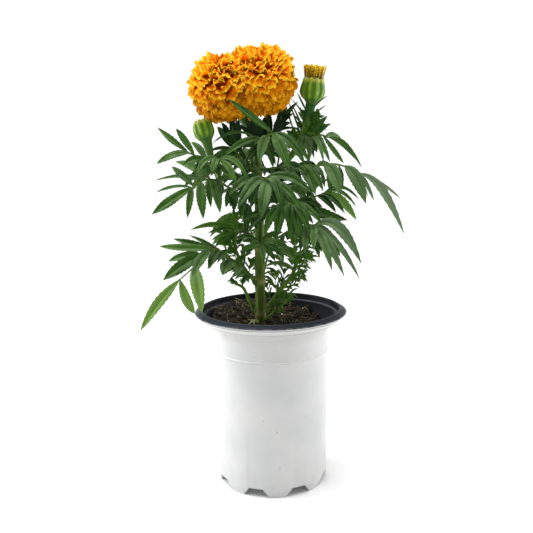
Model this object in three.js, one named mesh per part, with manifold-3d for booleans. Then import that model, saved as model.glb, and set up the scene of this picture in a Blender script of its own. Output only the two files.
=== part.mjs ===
// A potted marigold: one double orange flower head, two buds, pinnate leaves, soil and a white
// nursery pot. Millimetres, +Z up; the origin is the middle of the pot's footprint, on the
// surface that the pot stands on, and -Y is the plant's front.
import * as THREE from "three";
import { mergeVertices } from "three/addons/utils/BufferGeometryUtils.js";
import Module from "manifold-3d";

const wasm = await Module();
wasm.setup();

// Driving dimensions
const GAP = 0.3; // free space between pieces that touch on the real plant
const POT = {
  height: 141,
  rimRadius: 60,
  neckRadius: 45.7,
  footRadius: 42.5,
  wall: 1.4,
  floorHeight: 8,
  floorThickness: 2,
  segments: 28,
};
const FEET = {
  count: 8,
  firstAngle: -85.3, // degrees, the foot at the front
  archHeight: 7,
  archTopWidth: 11.2,
  archBottomWidth: 21.2,
};
const DRAIN = { count: 4, radius: 4.5, distance: 26 };
const SOIL = { level: 128, riseToBack: 8, fallToRight: 5, lump: 2.2, rings: 5, segments: 24 };
const STEM_HOLE = { radius: 4.9, bottom: 99 };
const BLADE = { thickness: 0.95, fold: 0.24, baseHalfWidth: 0.45 };
const RACHIS = { baseRadius: 1.25, endRadius: 0.85, sides: 4, step: 11 };
const TOOTHED_WIDTH = 7; // leaflets at least this wide have teeth here
const LEAF_FACE = [0, -0.8, 0.6]; // the way that the leaves at the front and sides look
const BACK_FACE = [0, 0.75, 0.65];
const SEEDS = { petals: 26, farLeaves: 30 };

const GREEN = {
  stem: 0x6f8a2c,
  leaf: 0x2f5a24,
  youngLeaf: 0x4f8030,
  cup: 0x7fa53a,
};
const ORANGE = 0xf28a0c;
const YELLOW = 0xd8a81c;
const WHITE = 0xf4f4f2;
const PEAT = 0x3a2a1e;

// Numbers, vectors and random draws

function vec(p) {
  return p.isVector3 ? p.clone() : new THREE.Vector3(p[0], p[1], p[2]);
}

function along(point, direction, distance) {
  return vec(point).addScaledVector(vec(direction), distance);
}

function degrees(angle) {
  return (angle * Math.PI) / 180;
}

function seeded(seed) {
  let state = seed >>> 0;
  return () => {
    state = (state + 0x6d2b79f5) >>> 0;
    let t = Math.imul(state ^ (state >>> 15), 1 | state);
    t = (t + Math.imul(t ^ (t >>> 7), 61 | t)) ^ t;
    return ((t ^ (t >>> 14)) >>> 0) / 4294967296;
  };
}

// A smooth path through hand-set points, with the radius of the stalk that follows it.
function stalkPath(points, radii) {
  const curve = new THREE.CatmullRomCurve3(points.map(vec), false, "catmullrom", 0.5);
  return {
    curve,
    at: (u) => curve.getPoint(u),
    heading: (u) => curve.getTangent(u).normalize(),
    radius: (u) => {
      const place = Math.min(u, 0.9999) * (radii.length - 1);
      const i = Math.floor(place);
      return radii[i] + (radii[i + 1] - radii[i]) * (place - i);
    },
  };
}

// Solids

// A closed body from rings of points; a ring of one point is a tip. In a thin bent sheet, both
// faces have to split their quads alike, or they cross: there every second split is mirrored,
// and the end caps are split across their short way.
function skin(rings, thinSheet = false) {
  const positions = [];
  const triangles = [];
  const starts = [];
  for (const ring of rings) {
    starts.push(positions.length / 3);
    for (const p of ring) positions.push(p.x, p.y, p.z);
  }
  for (let i = 0; i + 1 < rings.length; i++) {
    const n = Math.max(rings[i].length, rings[i + 1].length);
    for (let j = 0; j < n; j++) {
      const k = (j + 1) % n;
      const [a, b] = [starts[i], starts[i + 1]];
      if (rings[i].length === 1) triangles.push(a, b + j, b + k);
      else if (rings[i + 1].length === 1) triangles.push(a + j, b, a + k);
      else if (thinSheet && j % 2) triangles.push(a + j, b + j, b + k, a + j, b + k, a + k);
      else triangles.push(a + j, b + j, a + k, a + k, b + j, b + k);
    }
  }
  const apex = thinSheet ? 1 : 0;
  capRing(triangles, starts[0], rings[0].length, apex, false);
  capRing(triangles, starts[rings.length - 1], rings[rings.length - 1].length, apex, true);
  return toSolid(positions, triangles);
}

// Closes a ring with a fan of triangles from its point number apex.
function capRing(triangles, start, size, apex, atEnd) {
  for (let j = 1; j + 1 < size; j++) {
    const [a, b, c] = [apex, (apex + j) % size, (apex + j + 1) % size].map((i) => start + i);
    if (atEnd) triangles.push(a, c, b);
    else triangles.push(a, b, c);
  }
}

// A manifold solid from bare positions and triangles, turned so that its faces point out.
function toSolid(positions, triangles) {
  const build = (list) =>
    new wasm.Manifold(
      new wasm.Mesh({
        numProp: 3,
        vertProperties: new Float32Array(positions),
        triVerts: new Uint32Array(list),
      }),
    );
  const made = build(triangles);
  if (made.volume() > 0) return made;
  const turned = [];
  for (let i = 0; i < triangles.length; i += 3) {
    turned.push(triangles[i], triangles[i + 2], triangles[i + 1]);
  }
  return build(turned);
}

function geometrySolid(geometry) {
  geometry.deleteAttribute("normal");
  geometry.deleteAttribute("uv");
  const merged = mergeVertices(geometry, 1e-4);
  return toSolid(Array.from(merged.attributes.position.array), Array.from(merged.index.array));
}

function fused(solids) {
  return solids.reduce((sum, next) => sum.add(next));
}

// The largest connected body of a solid: scraps that a cut leaves loose are dropped.
function largestBody(solid) {
  const bodies = solid.decompose();
  return bodies.reduce((best, body) => (body.volume() > best.volume() ? body : best));
}

function bareGeometry(solid) {
  const { vertProperties, triVerts } = solid.getMesh();
  const geometry = new THREE.BufferGeometry();
  geometry.setAttribute("position", new THREE.BufferAttribute(vertProperties, 3));
  geometry.setIndex(new THREE.BufferAttribute(triVerts, 1));
  return geometry;
}

function meshOf(name, solid, colour, roughness) {
  const geometry = bareGeometry(solid);
  geometry.computeVertexNormals();
  const material = new THREE.MeshStandardMaterial({ color: colour, roughness, metalness: 0 });
  const mesh = new THREE.Mesh(geometry, material);
  mesh.name = name;
  return mesh;
}

// A round stalk along a path. Its rings turn with the path and don't twist.
function stalk(path, sides, steps) {
  const rings = [];
  let across = new THREE.Vector3(0.31, 0.17, 0.93);
  for (let i = 0; i <= steps; i++) {
    const u = i / steps;
    const heading = path.heading(u);
    across.addScaledVector(heading, -across.dot(heading)).normalize();
    const other = new THREE.Vector3().crossVectors(heading, across);
    const ring = [];
    for (let j = 0; j < sides; j++) {
      const angle = (2 * Math.PI * j) / sides;
      const point = along(path.at(u), across, path.radius(u) * Math.cos(angle));
      ring.push(along(point, other, path.radius(u) * Math.sin(angle)));
    }
    rings.push(ring);
  }
  return skin(rings);
}

// The middle of a stalk of so many steps, which is straight between its rings.
function onStalk(path, u, steps) {
  const i = Math.min(Math.floor(u * steps), steps - 1);
  return path.at(i / steps).lerp(path.at((i + 1) / steps), u * steps - i);
}

// Half the width of a lance-shaped leaflet over its length, 1 at its widest.
function lanceShape(t) {
  const rise = 0.9;
  const fall = 1.05;
  const peak = rise / (rise + fall);
  const most = Math.pow(peak, rise) * Math.pow(1 - peak, fall);
  return (Math.pow(t, rise) * Math.pow(1 - t, fall)) / most;
}

// Places along a leaflet with the reach of its edge there: a tooth is a rise and a drop.
const TOOTHED = [[0.2, 1], [0.44, 1.12], [0.5, 0.86], [0.76, 1.14]];
const PLAIN = [[0.3, 1], [0.68, 1]];
const SLIM = [[0.42, 1]];

// One leaflet: a thin arched blade, folded a little along its rib, from base to tip.
function blade(base, tip, width, lift, face, teeth) {
  const from = vec(base);
  const to = vec(tip);
  const middle = from.clone().add(to).multiplyScalar(0.5);
  const crest = along(middle, [0, 0, 1], 2 * lift * from.distanceTo(to));
  const rib = new THREE.QuadraticBezierCurve3(from, crest, to);
  const section = (t, halfWidth) => {
    const heading = rib.getTangent(t).normalize();
    const side = new THREE.Vector3().crossVectors(heading, vec(face)).normalize();
    const up = new THREE.Vector3().crossVectors(side, heading);
    const centre = rib.getPoint(t);
    const edgeRise = BLADE.fold * halfWidth;
    return [
      along(along(centre, side, -halfWidth), up, edgeRise),
      along(centre, up, BLADE.thickness / 2),
      along(along(centre, side, halfWidth), up, edgeRise),
      along(centre, up, -BLADE.thickness / 2),
    ];
  };
  const rings = [section(0, BLADE.baseHalfWidth)];
  for (const [t, reach] of teeth) {
    rings.push(section(t, Math.max(0.5, (width / 2) * lanceShape(t) * reach)));
  }
  rings.push([to]);
  return skin(rings);
}

// The foot of a stalk on its carrier: GAP clear of the carrier's skin, facing it squarely.
function seat(carrier, u, toward) {
  const centre = carrier.at(u);
  const heading = carrier.heading(u);
  const outward = vec(toward).sub(centre);
  outward.addScaledVector(heading, -outward.dot(heading)).normalize();
  const foot = along(centre, outward, carrier.radius(u) + GAP);
  return [foot, along(foot, outward, 0.6)];
}

// A pinnate leaf: a rachis seated on its carrier, with leaflets fused to it. Each leaflet is
// [place along the rachis, tip x, y, z, width, lift].
function pinnateLeaf(leaf, carrier, face) {
  const points = [...seat(carrier, leaf.u, leaf.rachis[0]), ...leaf.rachis.map(vec)];
  const rachis = stalkPath(points, [RACHIS.baseRadius, RACHIS.endRadius]);
  const steps = Math.max(3, Math.round(rachis.curve.getLength() / RACHIS.step));
  const solids = [stalk(rachis, RACHIS.sides, steps)];
  for (const [u, x, y, z, width, lift] of leaf.leaflets) {
    const base = onStalk(rachis, Math.min(u, 0.97), steps);
    const teeth = width >= TOOTHED_WIDTH ? TOOTHED : PLAIN;
    solids.push(blade(base, [x, y, z], width, lift, face, teeth));
  }
  return fused(solids);
}

// Pot

// The inner radius of the pot's straight wall, which narrows from the throat to the floor.
const THROAT_HEIGHT = POT.height - 14;
function potInside(z) {
  const share = z / THROAT_HEIGHT;
  const atFloor = POT.footRadius + 0.8 - POT.wall;
  return atFloor + (POT.neckRadius - POT.wall - atFloor) * share;
}

function potProfile() {
  const { height, rimRadius, neckRadius, footRadius, floorHeight, floorThickness } = POT;
  const floorTop = floorHeight + floorThickness;
  const outside = [
    [0, floorHeight],
    [footRadius - 4, floorHeight],
    [footRadius - 3.4, 0],
    [footRadius, 0],
    [footRadius + 1.3, 5],
    [footRadius + 2.5, height - 33.5],
    [neckRadius + 0.3, height - 32.5],
    [neckRadius, height - 14.5],
    [neckRadius + 1.8, height - 11.8],
    [rimRadius - 6.5, height - 9],
    [rimRadius - 0.6, height - 3.8],
    [rimRadius, height - 2.8],
    [rimRadius - 4.6, height],
  ];
  const inside = [
    [rimRadius - 6, height - 0.6],
    [rimRadius - 6.4, height - 4.4],
    [rimRadius - 8, height - 5.2],
    [neckRadius + 0.9, height - 10.6],
    [potInside(THROAT_HEIGHT), THROAT_HEIGHT],
    [potInside(floorTop + 3), floorTop + 3],
    [footRadius - 2, floorTop],
    [0, floorTop],
  ];
  return [...outside, ...inside].map(([r, z]) => new THREE.Vector2(r, z));
}

function footArch(angle) {
  const top = FEET.archTopWidth / 2;
  const bottom = FEET.archBottomWidth / 2;
  const below = -2;
  const spread = ((bottom - top) * -below) / FEET.archHeight;
  const outline = new THREE.Shape([
    new THREE.Vector2(-bottom - spread, below),
    new THREE.Vector2(bottom + spread, below),
    new THREE.Vector2(top, FEET.archHeight),
    new THREE.Vector2(-top, FEET.archHeight),
  ]);
  const length = 3 * POT.footRadius;
  const prism = new THREE.ExtrudeGeometry(outline, { depth: length, bevelEnabled: false });
  prism.translate(0, 0, -length / 2);
  prism.rotateX(Math.PI / 2);
  prism.rotateZ(degrees(angle + 90));
  return geometrySolid(prism);
}

function drainHole(angle) {
  const length = 3 * POT.floorThickness;
  const hole = new THREE.CylinderGeometry(DRAIN.radius, DRAIN.radius, length, 8);
  hole.rotateX(Math.PI / 2);
  const middle = POT.floorHeight + POT.floorThickness / 2;
  const [x, y] = [Math.cos(angle) * DRAIN.distance, Math.sin(angle) * DRAIN.distance];
  hole.translate(x, y, middle);
  return geometrySolid(hole);
}

function potSolid() {
  let pot = geometrySolid(new THREE.LatheGeometry(potProfile(), POT.segments).rotateX(Math.PI / 2));
  const between = 180 / FEET.count;
  for (let i = 0; i < FEET.count / 2; i++) {
    pot = pot.subtract(footArch(FEET.firstAngle + between + (i * 360) / FEET.count));
  }
  for (let i = 0; i < DRAIN.count; i++) {
    pot = pot.subtract(drainHole((2 * Math.PI * (i + 0.5)) / DRAIN.count));
  }
  return pot;
}

// Soil

// How high the soil's skin lies at a point: heaped at the back left, low at the right.
function soilHeight(x, y) {
  const slope = (SOIL.riseToBack * y - SOIL.fallToRight * x) / POT.neckRadius;
  const lumps =
    Math.sin(0.23 * x + 1.3) * Math.cos(0.19 * y + 0.4) +
    0.6 * Math.sin(0.41 * x - 0.33 * y) +
    0.4 * Math.cos(0.6 * y + 0.27 * x + 2);
  return SOIL.level + slope + (SOIL.lump * lumps) / 2;
}

// The soil fills the pot to a small gap from its wall, and spreads with the flare at the top.
function soilRadius(z) {
  const flareSlope = 0.62;
  const clearance = 2.8 * GAP;
  if (z < THROAT_HEIGHT) return potInside(z) - clearance;
  return potInside(THROAT_HEIGHT) - clearance + (z - THROAT_HEIGHT) * flareSlope;
}

function soilSolid() {
  const bottom = POT.floorHeight + POT.floorThickness + GAP;
  const rings = [];
  const ringAt = (place) => {
    const ring = [];
    for (let j = 0; j < SOIL.segments; j++) ring.push(place((2 * Math.PI * j) / SOIL.segments));
    return ring;
  };
  rings.push([new THREE.Vector3(0, 0, soilHeight(0, 0))]);
  for (let i = 1; i <= SOIL.rings; i++) {
    const share = i / SOIL.rings;
    rings.push(
      ringAt((angle) => {
        const rim = soilRadius(soilHeight(44 * Math.cos(angle), 44 * Math.sin(angle)));
        const [x, y] = [rim * share * Math.cos(angle), rim * share * Math.sin(angle)];
        const z = i < SOIL.rings ? soilHeight(x, y) : soilHeight(x * 0.99, y * 0.99) - 0.8;
        return new THREE.Vector3(x, y, z);
      }),
    );
  }
  const rim = rings[rings.length - 1];
  const wallRing = (radius, heightAt) =>
    rim.map((p) => {
      const angle = Math.atan2(p.y, p.x);
      return new THREE.Vector3(radius * Math.cos(angle), radius * Math.sin(angle), heightAt(p));
    });
  rings.push(wallRing(soilRadius(THROAT_HEIGHT - 0.5), (p) => Math.min(THROAT_HEIGHT - 0.5, p.z - 1)));
  rings.push(wallRing(soilRadius(bottom + 3), () => bottom + 3));
  rings.push(wallRing(POT.footRadius - 4.6, () => bottom));
  const depth = 60;
  const hole = new THREE.CylinderGeometry(STEM_HOLE.radius, STEM_HOLE.radius, depth, 12);
  hole.rotateX(Math.PI / 2);
  hole.translate(STEM_FOOT[0], STEM_FOOT[1], STEM_HOLE.bottom + depth / 2);
  return largestBody(skin(rings).subtract(geometrySolid(hole)));
}

// Stems

const STEM_FOOT = [-8, 0, 100];
const MAIN_STEM = [
  STEM_FOOT,
  [-8, 0, 125],
  [-8, 0, 150],
  [-8, 0, 175],
  [-8, 0, 200],
  [-8, 0, 225],
  [-8.5, 0, 250],
  [-10, 0, 270],
];
const MAIN_STEM_RADII = [4.1, 4.2, 4.1, 4.0, 3.8, 3.5, 3.2, 3.0];
const NODE_HEIGHTS = [135, 162, 189, 214, 232, 249, 264];
const NODE_SWELL = 0.55;

function stemShare(z) {
  const last = MAIN_STEM.length - 1;
  let i = 0;
  while (i < last - 1 && MAIN_STEM[i + 1][2] < z) i++;
  return (i + (z - MAIN_STEM[i][2]) / (MAIN_STEM[i + 1][2] - MAIN_STEM[i][2])) / last;
}

function mainStem() {
  const path = stalkPath(MAIN_STEM, MAIN_STEM_RADII);
  const thickness = path.radius;
  const ringShares = [0];
  for (const z of NODE_HEIGHTS) ringShares.push(stemShare(z - 4), stemShare(z), stemShare(z + 4));
  ringShares.push(1);
  const swollen = NODE_HEIGHTS.map(stemShare);
  const sides = 9;
  const rings = ringShares.map((u) => {
    const radius = thickness(u) + (swollen.includes(u) ? NODE_SWELL : 0);
    const centre = path.at(u);
    const ring = [];
    for (let j = 0; j < sides; j++) {
      const angle = (2 * Math.PI * j) / sides;
      ring.push(along(centre, [Math.cos(angle), Math.sin(angle), 0], radius));
    }
    return ring;
  });
  path.radius = (u) => thickness(u) + NODE_SWELL;
  return { path, solid: skin(rings) };
}

// A side branch from the main stem, with the small narrow leaves that it carries.
function branch(stem, plan) {
  const foot = seat(stem.path, stemShare(plan.z), plan.points[0]);
  const path = stalkPath([...foot, ...plan.points.map(vec)], plan.radii);
  const steps = Math.round(path.curve.getLength() / 9);
  const solids = [stalk(path, 6, steps)];
  const random = seeded(plan.seed);
  const { count, from, to, length, width } = plan.spray;
  for (let i = 0; i < count; i++) {
    const u = from + ((to - from) * (i + 0.5)) / count;
    const turn = i * 2.4 + random();
    const reach = length * (0.75 + 0.5 * random());
    const base = onStalk(path, u, steps);
    const fromStem = new THREE.Vector3(base.x - STEM_FOOT[0], base.y - STEM_FOOT[1], 0);
    const out = new THREE.Vector3(Math.cos(turn), 0.8 * Math.sin(turn), 0.35 + 0.5 * random());
    out.addScaledVector(fromStem.normalize(), 0.9);
    const tip = along(base, out.normalize(), reach);
    solids.push(blade(base, tip, width, 0.12, LEAF_FACE, SLIM));
  }
  return { path, solid: fused(solids) };
}

const BRANCHES = {
  branch_left: {
    z: 226,
    points: [[-17, -4, 231], [-24, -8, 241], [-35, -18, 252], [-41, -22, 257]],
    radii: [2.1, 1.9],
    seed: 3,
    spray: { count: 0, from: 0.6, to: 1, length: 10, width: 2.4 },
  },
  branch_right: {
    z: 237,
    points: [[2, 5, 241], [9, 11, 250], [20, 12, 262], [28, 8, 278], [31, 4, 291], [32.4, 2, 298]],
    radii: [2.2, 2.0, 1.8],
    seed: 6,
    spray: { count: 17, from: 0.5, to: 0.82, length: 20, width: 4 },
  },
  shoot_left: {
    z: 164,
    points: [[-18, 4, 168], [-23, 7, 176], [-28, 8, 190], [-26, 8, 202], [-30, 8, 210]],
    radii: [1.9, 1.4, 0.8],
    seed: 7,
    spray: { count: 19, from: 0.28, to: 0.98, length: 17, width: 3.4 },
  },
  shoot_right: {
    z: 137,
    points: [[-1, 4, 141], [6, 5, 151], [18, 5, 167], [20, 4, 176], [19, 3, 189]],
    radii: [2.0, 1.8, 0.9],
    seed: 9,
    spray: { count: 19, from: 0.33, to: 0.98, length: 16, width: 3.2 },
  },
  sprout_right: {
    z: 132,
    points: [[0, -6, 136], [5, -8, 141], [15, -9, 150]],
    radii: [1.4, 0.8],
    seed: 11,
    spray: { count: 5, from: 0.5, to: 0.98, length: 9, width: 2.4 },
  },
  sprout_left: {
    z: 138,
    points: [[-14, 1, 141], [-18, 2, 149], [-22, 2, 157], [-28, 1, 160]],
    radii: [1.5, 0.9],
    seed: 13,
    spray: { count: 3, from: 0.75, to: 0.98, length: 9, width: 2.4 },
  },
};

// Leaves that show at the front and sides. u is the seat's place on the carrier, or z the
// height of the joint on the main stem.
const LEAVES = [
  {
    name: "leaf_left_high",
    carrier: "branch_left",
    u: 0.9,
    rachis: [[-45, -25, 256], [-53, -24, 261], [-60, -21, 264]],
    leaflets: [
      [1, -82, -14, 282, 5, 0.06],
      [0.8, -68, -18, 281, 5, 0.06],
      [0.95, -82, -26, 256, 5, 0.25],
      [0.85, -76, -32, 260, 3.5, 0.15],
      [0.45, -62, -36, 255, 6, 0.2],
      [0.5, -58, -6, 271, 4, 0.1],
    ],
  },
  {
    name: "leaf_left_front",
    carrier: "branch_left",
    u: 0.8,
    rachis: [[-37, -26, 256], [-36, -34, 259], [-37, -42, 258]],
    leaflets: [
      [0.7, -51, -48, 251, 5, 0.2],
      [0.85, -40, -54, 250, 5, 0.2],
      [1, -23, -56, 243, 5, 0.15],
      [0.7, -16, -46, 247, 5, 0.2],
    ],
  },
  {
    name: "leaf_left_middle",
    carrier: "main_stem",
    z: 214,
    rachis: [[-22, -6, 229], [-35, -14, 240], [-42, -18, 243], [-49, -22, 243], [-59, -24, 237]],
    leaflets: [
      [1, -87, -26, 219, 8, 0.15],
      [0.95, -73, -10, 253, 5.5, 0.05],
      [0.7, -72, 6, 256, 7, 0.05],
      [0.75, -88, 2, 242, 3.5, 0.1],
      [1, -85, -14, 234, 3.2, 0.2],
      [0.98, -60, -34, 217, 5.5, 0.1],
      [0.86, -48, -40, 217, 7.5, 0.1],
      [0.68, -36, -38, 221, 7.5, 0.1],
      [0.74, -43, -30, 224, 5, 0.1],
    ],
  },
  {
    name: "leaf_left_low",
    carrier: "main_stem",
    z: 162,
    rachis: [
      [-18, -6, 170],
      [-27, -8, 178],
      [-41, -14, 190],
      [-49, -18, 188],
      [-59, -22, 177],
      [-71, -24, 167],
    ],
    leaflets: [
      [1, -99, -28, 131, 8.5, 0.03],
      [0.98, -57, -34, 145, 7.5, 0.1],
      [0.72, -50, -44, 148, 10, 0.12],
      [0.66, -57, -42, 175, 8, 0.1],
      [0.72, -80, -30, 171, 8.5, 0.1],
      [0.74, -78, -12, 181, 7, 0.08],
      [0.6, -85, -8, 193, 7.5, 0.06],
      [0.5, -75, -2, 198, 6.5, 0.05],
      [0.46, -63, 2, 199, 4.2, 0.05],
      [0.47, -35, -30, 173, 6, 0.1],
      [0.36, -26, -26, 172, 8, 0.1],
      [0.52, -47, -28, 178, 5, 0.1],
    ],
  },
  {
    name: "leaf_front_middle",
    carrier: "main_stem",
    z: 232,
    rachis: [[-6, -14, 237], [-5, -26, 243], [-3, -44, 246], [-2, -54, 244]],
    leaflets: [
      [0.8, -22, -70, 227, 8, 0.15],
      [1, -6, -77, 221, 9, 0.12],
      [0.85, 29, -60, 236, 7.5, 0.15],
      [0.6, -28, -56, 235, 7, 0.15],
      [0.92, 24, -68, 222, 5, 0.15],
      [1, 9, -74, 222, 6.5, 0.3],
      [0.45, -20, -36, 226, 6.5, 0.15],
      [0.5, 16, -40, 228, 6.5, 0.15],
    ],
  },
  {
    name: "leaf_front_right",
    carrier: "main_stem",
    z: 214,
    rachis: [[1, -13, 217], [8, -24, 224], [13, -34, 227], [18, -42, 226]],
    leaflets: [
      [0.6, -4, -32, 203, 7, 0.15],
      [0.75, 4, -44, 201, 7.5, 0.15],
      [0.9, 15, -54, 201, 8, 0.18],
      [1, 28, -55, 206, 6.5, 0.18],
      [0.95, 37, -48, 213, 6.5, 0.15],
      [0.7, 32, -30, 211, 7, 0.15],
      [0.5, 22, -20, 202, 6, 0.15],
    ],
  },
  {
    name: "leaf_front_high",
    carrier: "main_stem",
    z: 264,
    rachis: [[-6, -14, 271], [-1, -24, 275], [4, -36, 277]],
    leaflets: [
      [1, -28, -46, 301, 5.5, 0],
      [1, 14, -56, 252, 8.5, 0.1],
      [0.8, -7, -50, 257, 7.5, 0.1],
      [0.95, 25, -48, 255, 7, 0.15],
      [0.85, 30, -38, 255, 6, 0.15],
      [0.6, -31, -36, 262, 6.5, 0.12],
      [0.5, -41, -26, 270, 3.2, 0.2],
      [0.3, -17, -22, 256, 5, 0.15],
      [0.35, 5, -24, 254, 5, 0.15],
    ],
  },
  {
    name: "leaf_left_top",
    carrier: "main_stem",
    z: 249,
    rachis: [[-15, -5, 254], [-22, -9, 261], [-28, -11, 267]],
    leaflets: [
      [1, -38, -12, 282, 6, 0.05],
      [0.95, -27, -14, 283, 5, 0.05],
      [0.8, -44, -16, 264, 4.5, 0.15],
      [0.7, -36, -4, 256, 5.5, 0.15],
      [0.5, -27, -20, 249, 5, 0.15],
      [0.45, -20, -16, 246, 4.5, 0.15],
    ],
  },
  {
    name: "leaf_right_top",
    carrier: "main_stem",
    z: 264,
    rachis: [[-3, 5, 269], [3, 9, 276], [8, 10, 281]],
    leaflets: [
      [1, 13.5, 6, 303, 6.5, 0],
      [0.95, 23, 4, 300, 4.5, 0.05],
      [0.8, 19, 3, 291, 5, 0.1],
      [0.7, 0, 17, 294, 5, 0.05],
      [0.5, 9, -3, 268, 4.5, 0.15],
    ],
  },
  {
    name: "leaf_right_high",
    carrier: "branch_right",
    u: 0.7,
    rachis: [[34, -1, 274], [40, -4, 275], [45, -2, 273]],
    leaflets: [
      [1, 71, 0, 250, 5, 0.25],
      [0.95, 66, -6, 256, 3, 0.2],
      [0.9, 57, 14, 271, 4.5, 0.1],
      [0.6, 47, -6, 283, 3.5, 0.1],
      [0.5, 43, 2, 280, 2.5, 0.1],
      [0.4, 44, -8, 289, 4.5, 0],
      [0.8, 56, -14, 254, 3.5, 0.1],
      [0.5, 45, -20, 255, 4.8, 0.15],
      [0.4, 40, -26, 255, 4, 0.15],
      [0.3, 34, -10, 258, 4, 0.1],
    ],
  },
  {
    name: "leaf_right_big",
    carrier: "main_stem",
    z: 249,
    rachis: [
      [6, -9, 251],
      [16, -14, 253],
      [30, -18, 252],
      [45, -20, 254],
      [56, -20, 252],
      [70, -20, 245],
    ],
    leaflets: [
      [1, 99, -12, 227, 4, 0.08],
      [1, 100, -24, 202, 6.5, 0.12],
      [0.86, 70, -34, 226, 9.5, 0.15],
      [1, 77, -26, 227, 3.5, 0.1],
      [0.68, 53, -40, 234, 10, 0.15],
      [0.5, 33, -40, 233, 8.5, 0.12],
      [0.55, 39, -34, 235, 5, 0.12],
      [0.36, 22, -36, 235, 7, 0.15],
      [0.62, 55, 8, 236, 7, 0.15],
      [0.85, 77, 6, 227, 6, 0.12],
    ],
  },
  {
    name: "leaf_right_middle",
    carrier: "main_stem",
    z: 214,
    rachis: [[8, 5, 218], [20, 8, 223], [39, 12, 228], [45, 12, 231]],
    leaflets: [
      [1, 71, 14, 224, 3.6, 0.25],
      [0.95, 68, 6, 219, 3.2, 0.2],
      [0.85, 58, 0, 216, 4, 0.15],
      [0.9, 70, 22, 207, 6, 0.1],
      [0.6, 60, -4, 211, 5.5, 0.1],
      [0.7, 49, 30, 239, 5, 0.1],
    ],
  },
  {
    name: "leaf_right_low",
    carrier: "main_stem",
    z: 189,
    rachis: [[4, -12, 197], [15, -22, 204], [26, -32, 210], [34, -38, 211]],
    leaflets: [
      [1, 66, -42, 183, 9, 0.25],
      [1, 64, -50, 173, 5, 0.12],
      [0.95, 51, -58, 177, 6, 0.12],
      [1, 52, -30, 186, 6.5, 0.12],
      [0.9, 41, -62, 182, 7, 0.12],
      [0.8, 24, -62, 194, 6.5, 0.12],
      [0.9, 30, -66, 197, 6, 0.12],
      [0.7, 19, -54, 204, 6, 0.12],
    ],
  },
  {
    name: "leaf_front_low",
    carrier: "main_stem",
    z: 191,
    rachis: [[-10, -13, 194], [-8, -19, 196], [-7, -25, 196]],
    leaflets: [
      [0.9, -15, -34, 193, 6.5, 0.1],
      [1, 14, -36, 193, 6.5, 0.15],
      [1, -5, -38, 182, 4.6, 0.1],
      [0.8, 10, -17, 203, 4.5, 0.1],
    ],
  },
];

// Leaves on the far side, in the plant's own regular pattern: pairs of leaflets and an end one.
const FAR_LEAVES = [
  { name: "leaf_back_low", z: 162, azimuth: 74, reach: 46, rise: 22, leaflet: 27, width: 7 },
  { name: "leaf_back_left_low", z: 189, azimuth: 110, reach: 54, rise: 20, leaflet: 33, width: 7.5 },
  { name: "leaf_back_right", z: 214, azimuth: 50, reach: 40, rise: 22, leaflet: 27, width: 7 },
  { name: "leaf_back_left", z: 232, azimuth: 149, reach: 42, rise: 20, leaflet: 28, width: 7 },
  { name: "leaf_back_middle", z: 249, azimuth: 117, reach: 40, rise: 15, leaflet: 30, width: 7.5 },
  { name: "leaf_back_high", z: 264, azimuth: 83, reach: 30, rise: 14, leaflet: 20, width: 5 },
];

function farLeaf(plan, random) {
  const out = vec([Math.cos(degrees(plan.azimuth)), Math.sin(degrees(plan.azimuth)), 0]);
  const across = vec([-out.y, out.x, 0]);
  const joint = vec([-8, 0, plan.z]);
  const rachisPoint = (share) => {
    const height = plan.rise * Math.sin(1.9 * share);
    return along(along(joint, out, plan.reach * (0.12 + 0.88 * share)), [0, 0, 1], height);
  };
  const rachis = [0.12, 0.4, 0.7, 1].map(rachisPoint);
  const leaflets = [];
  const addLeaflet = (u, side) => {
    const length = plan.leaflet * (0.85 + 0.3 * random()) * (side === 0 ? 1.1 : 1);
    const base = rachisPoint(0.12 + 0.88 * ((u * 5 - 1) / 4));
    const spread = vec([0, 0, side === 0 ? -0.7 : -0.55]).addScaledVector(out, side === 0 ? 0.75 : 0.5);
    spread.addScaledVector(across, side * 0.75).normalize();
    const tip = along(base, spread, length);
    leaflets.push([u, tip.x, tip.y, tip.z, plan.width * (0.85 + 0.3 * random()), 0.14]);
  };
  for (const u of [0.52, 0.75, 0.95]) {
    addLeaflet(u, 1);
    addLeaflet(u - 0.04, -1);
  }
  addLeaflet(1, 0);
  return { ...plan, carrier: "main_stem", rachis, leaflets };
}

// Flower head

const HEAD = {
  lobes: [
    { centre: [-6, -1, 316], radii: [25.5, 34, 26.5], petals: 46 },
    { centre: [-33, -2, 311], radii: [26, 33, 25], petals: 42 },
  ],
  axis: [-0.12, -0.28, 0.95],
  lowest: 2.35, // radians from the axis
  coreShare: 0.78, // of a lobe's radii
};
const PETAL = {
  rootShare: 0.53, // of a lobe's radii: deep in the core
  turnShare: 0.9, // where the petal begins to turn over
  halfWidths: [3.8, 8, 8.4], // at the root, the turn and the end
  thickness: 1.1,
  endThickness: 0.66,
  turnOver: 5.5,
  cornerShare: 0.35, // how far a petal's corners turn over, against its middle
  ruffle: 1.6,
};

function scaled(direction, radii) {
  return new THREE.Vector3(direction.x * radii[0], direction.y * radii[1], direction.z * radii[2]);
}

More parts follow.
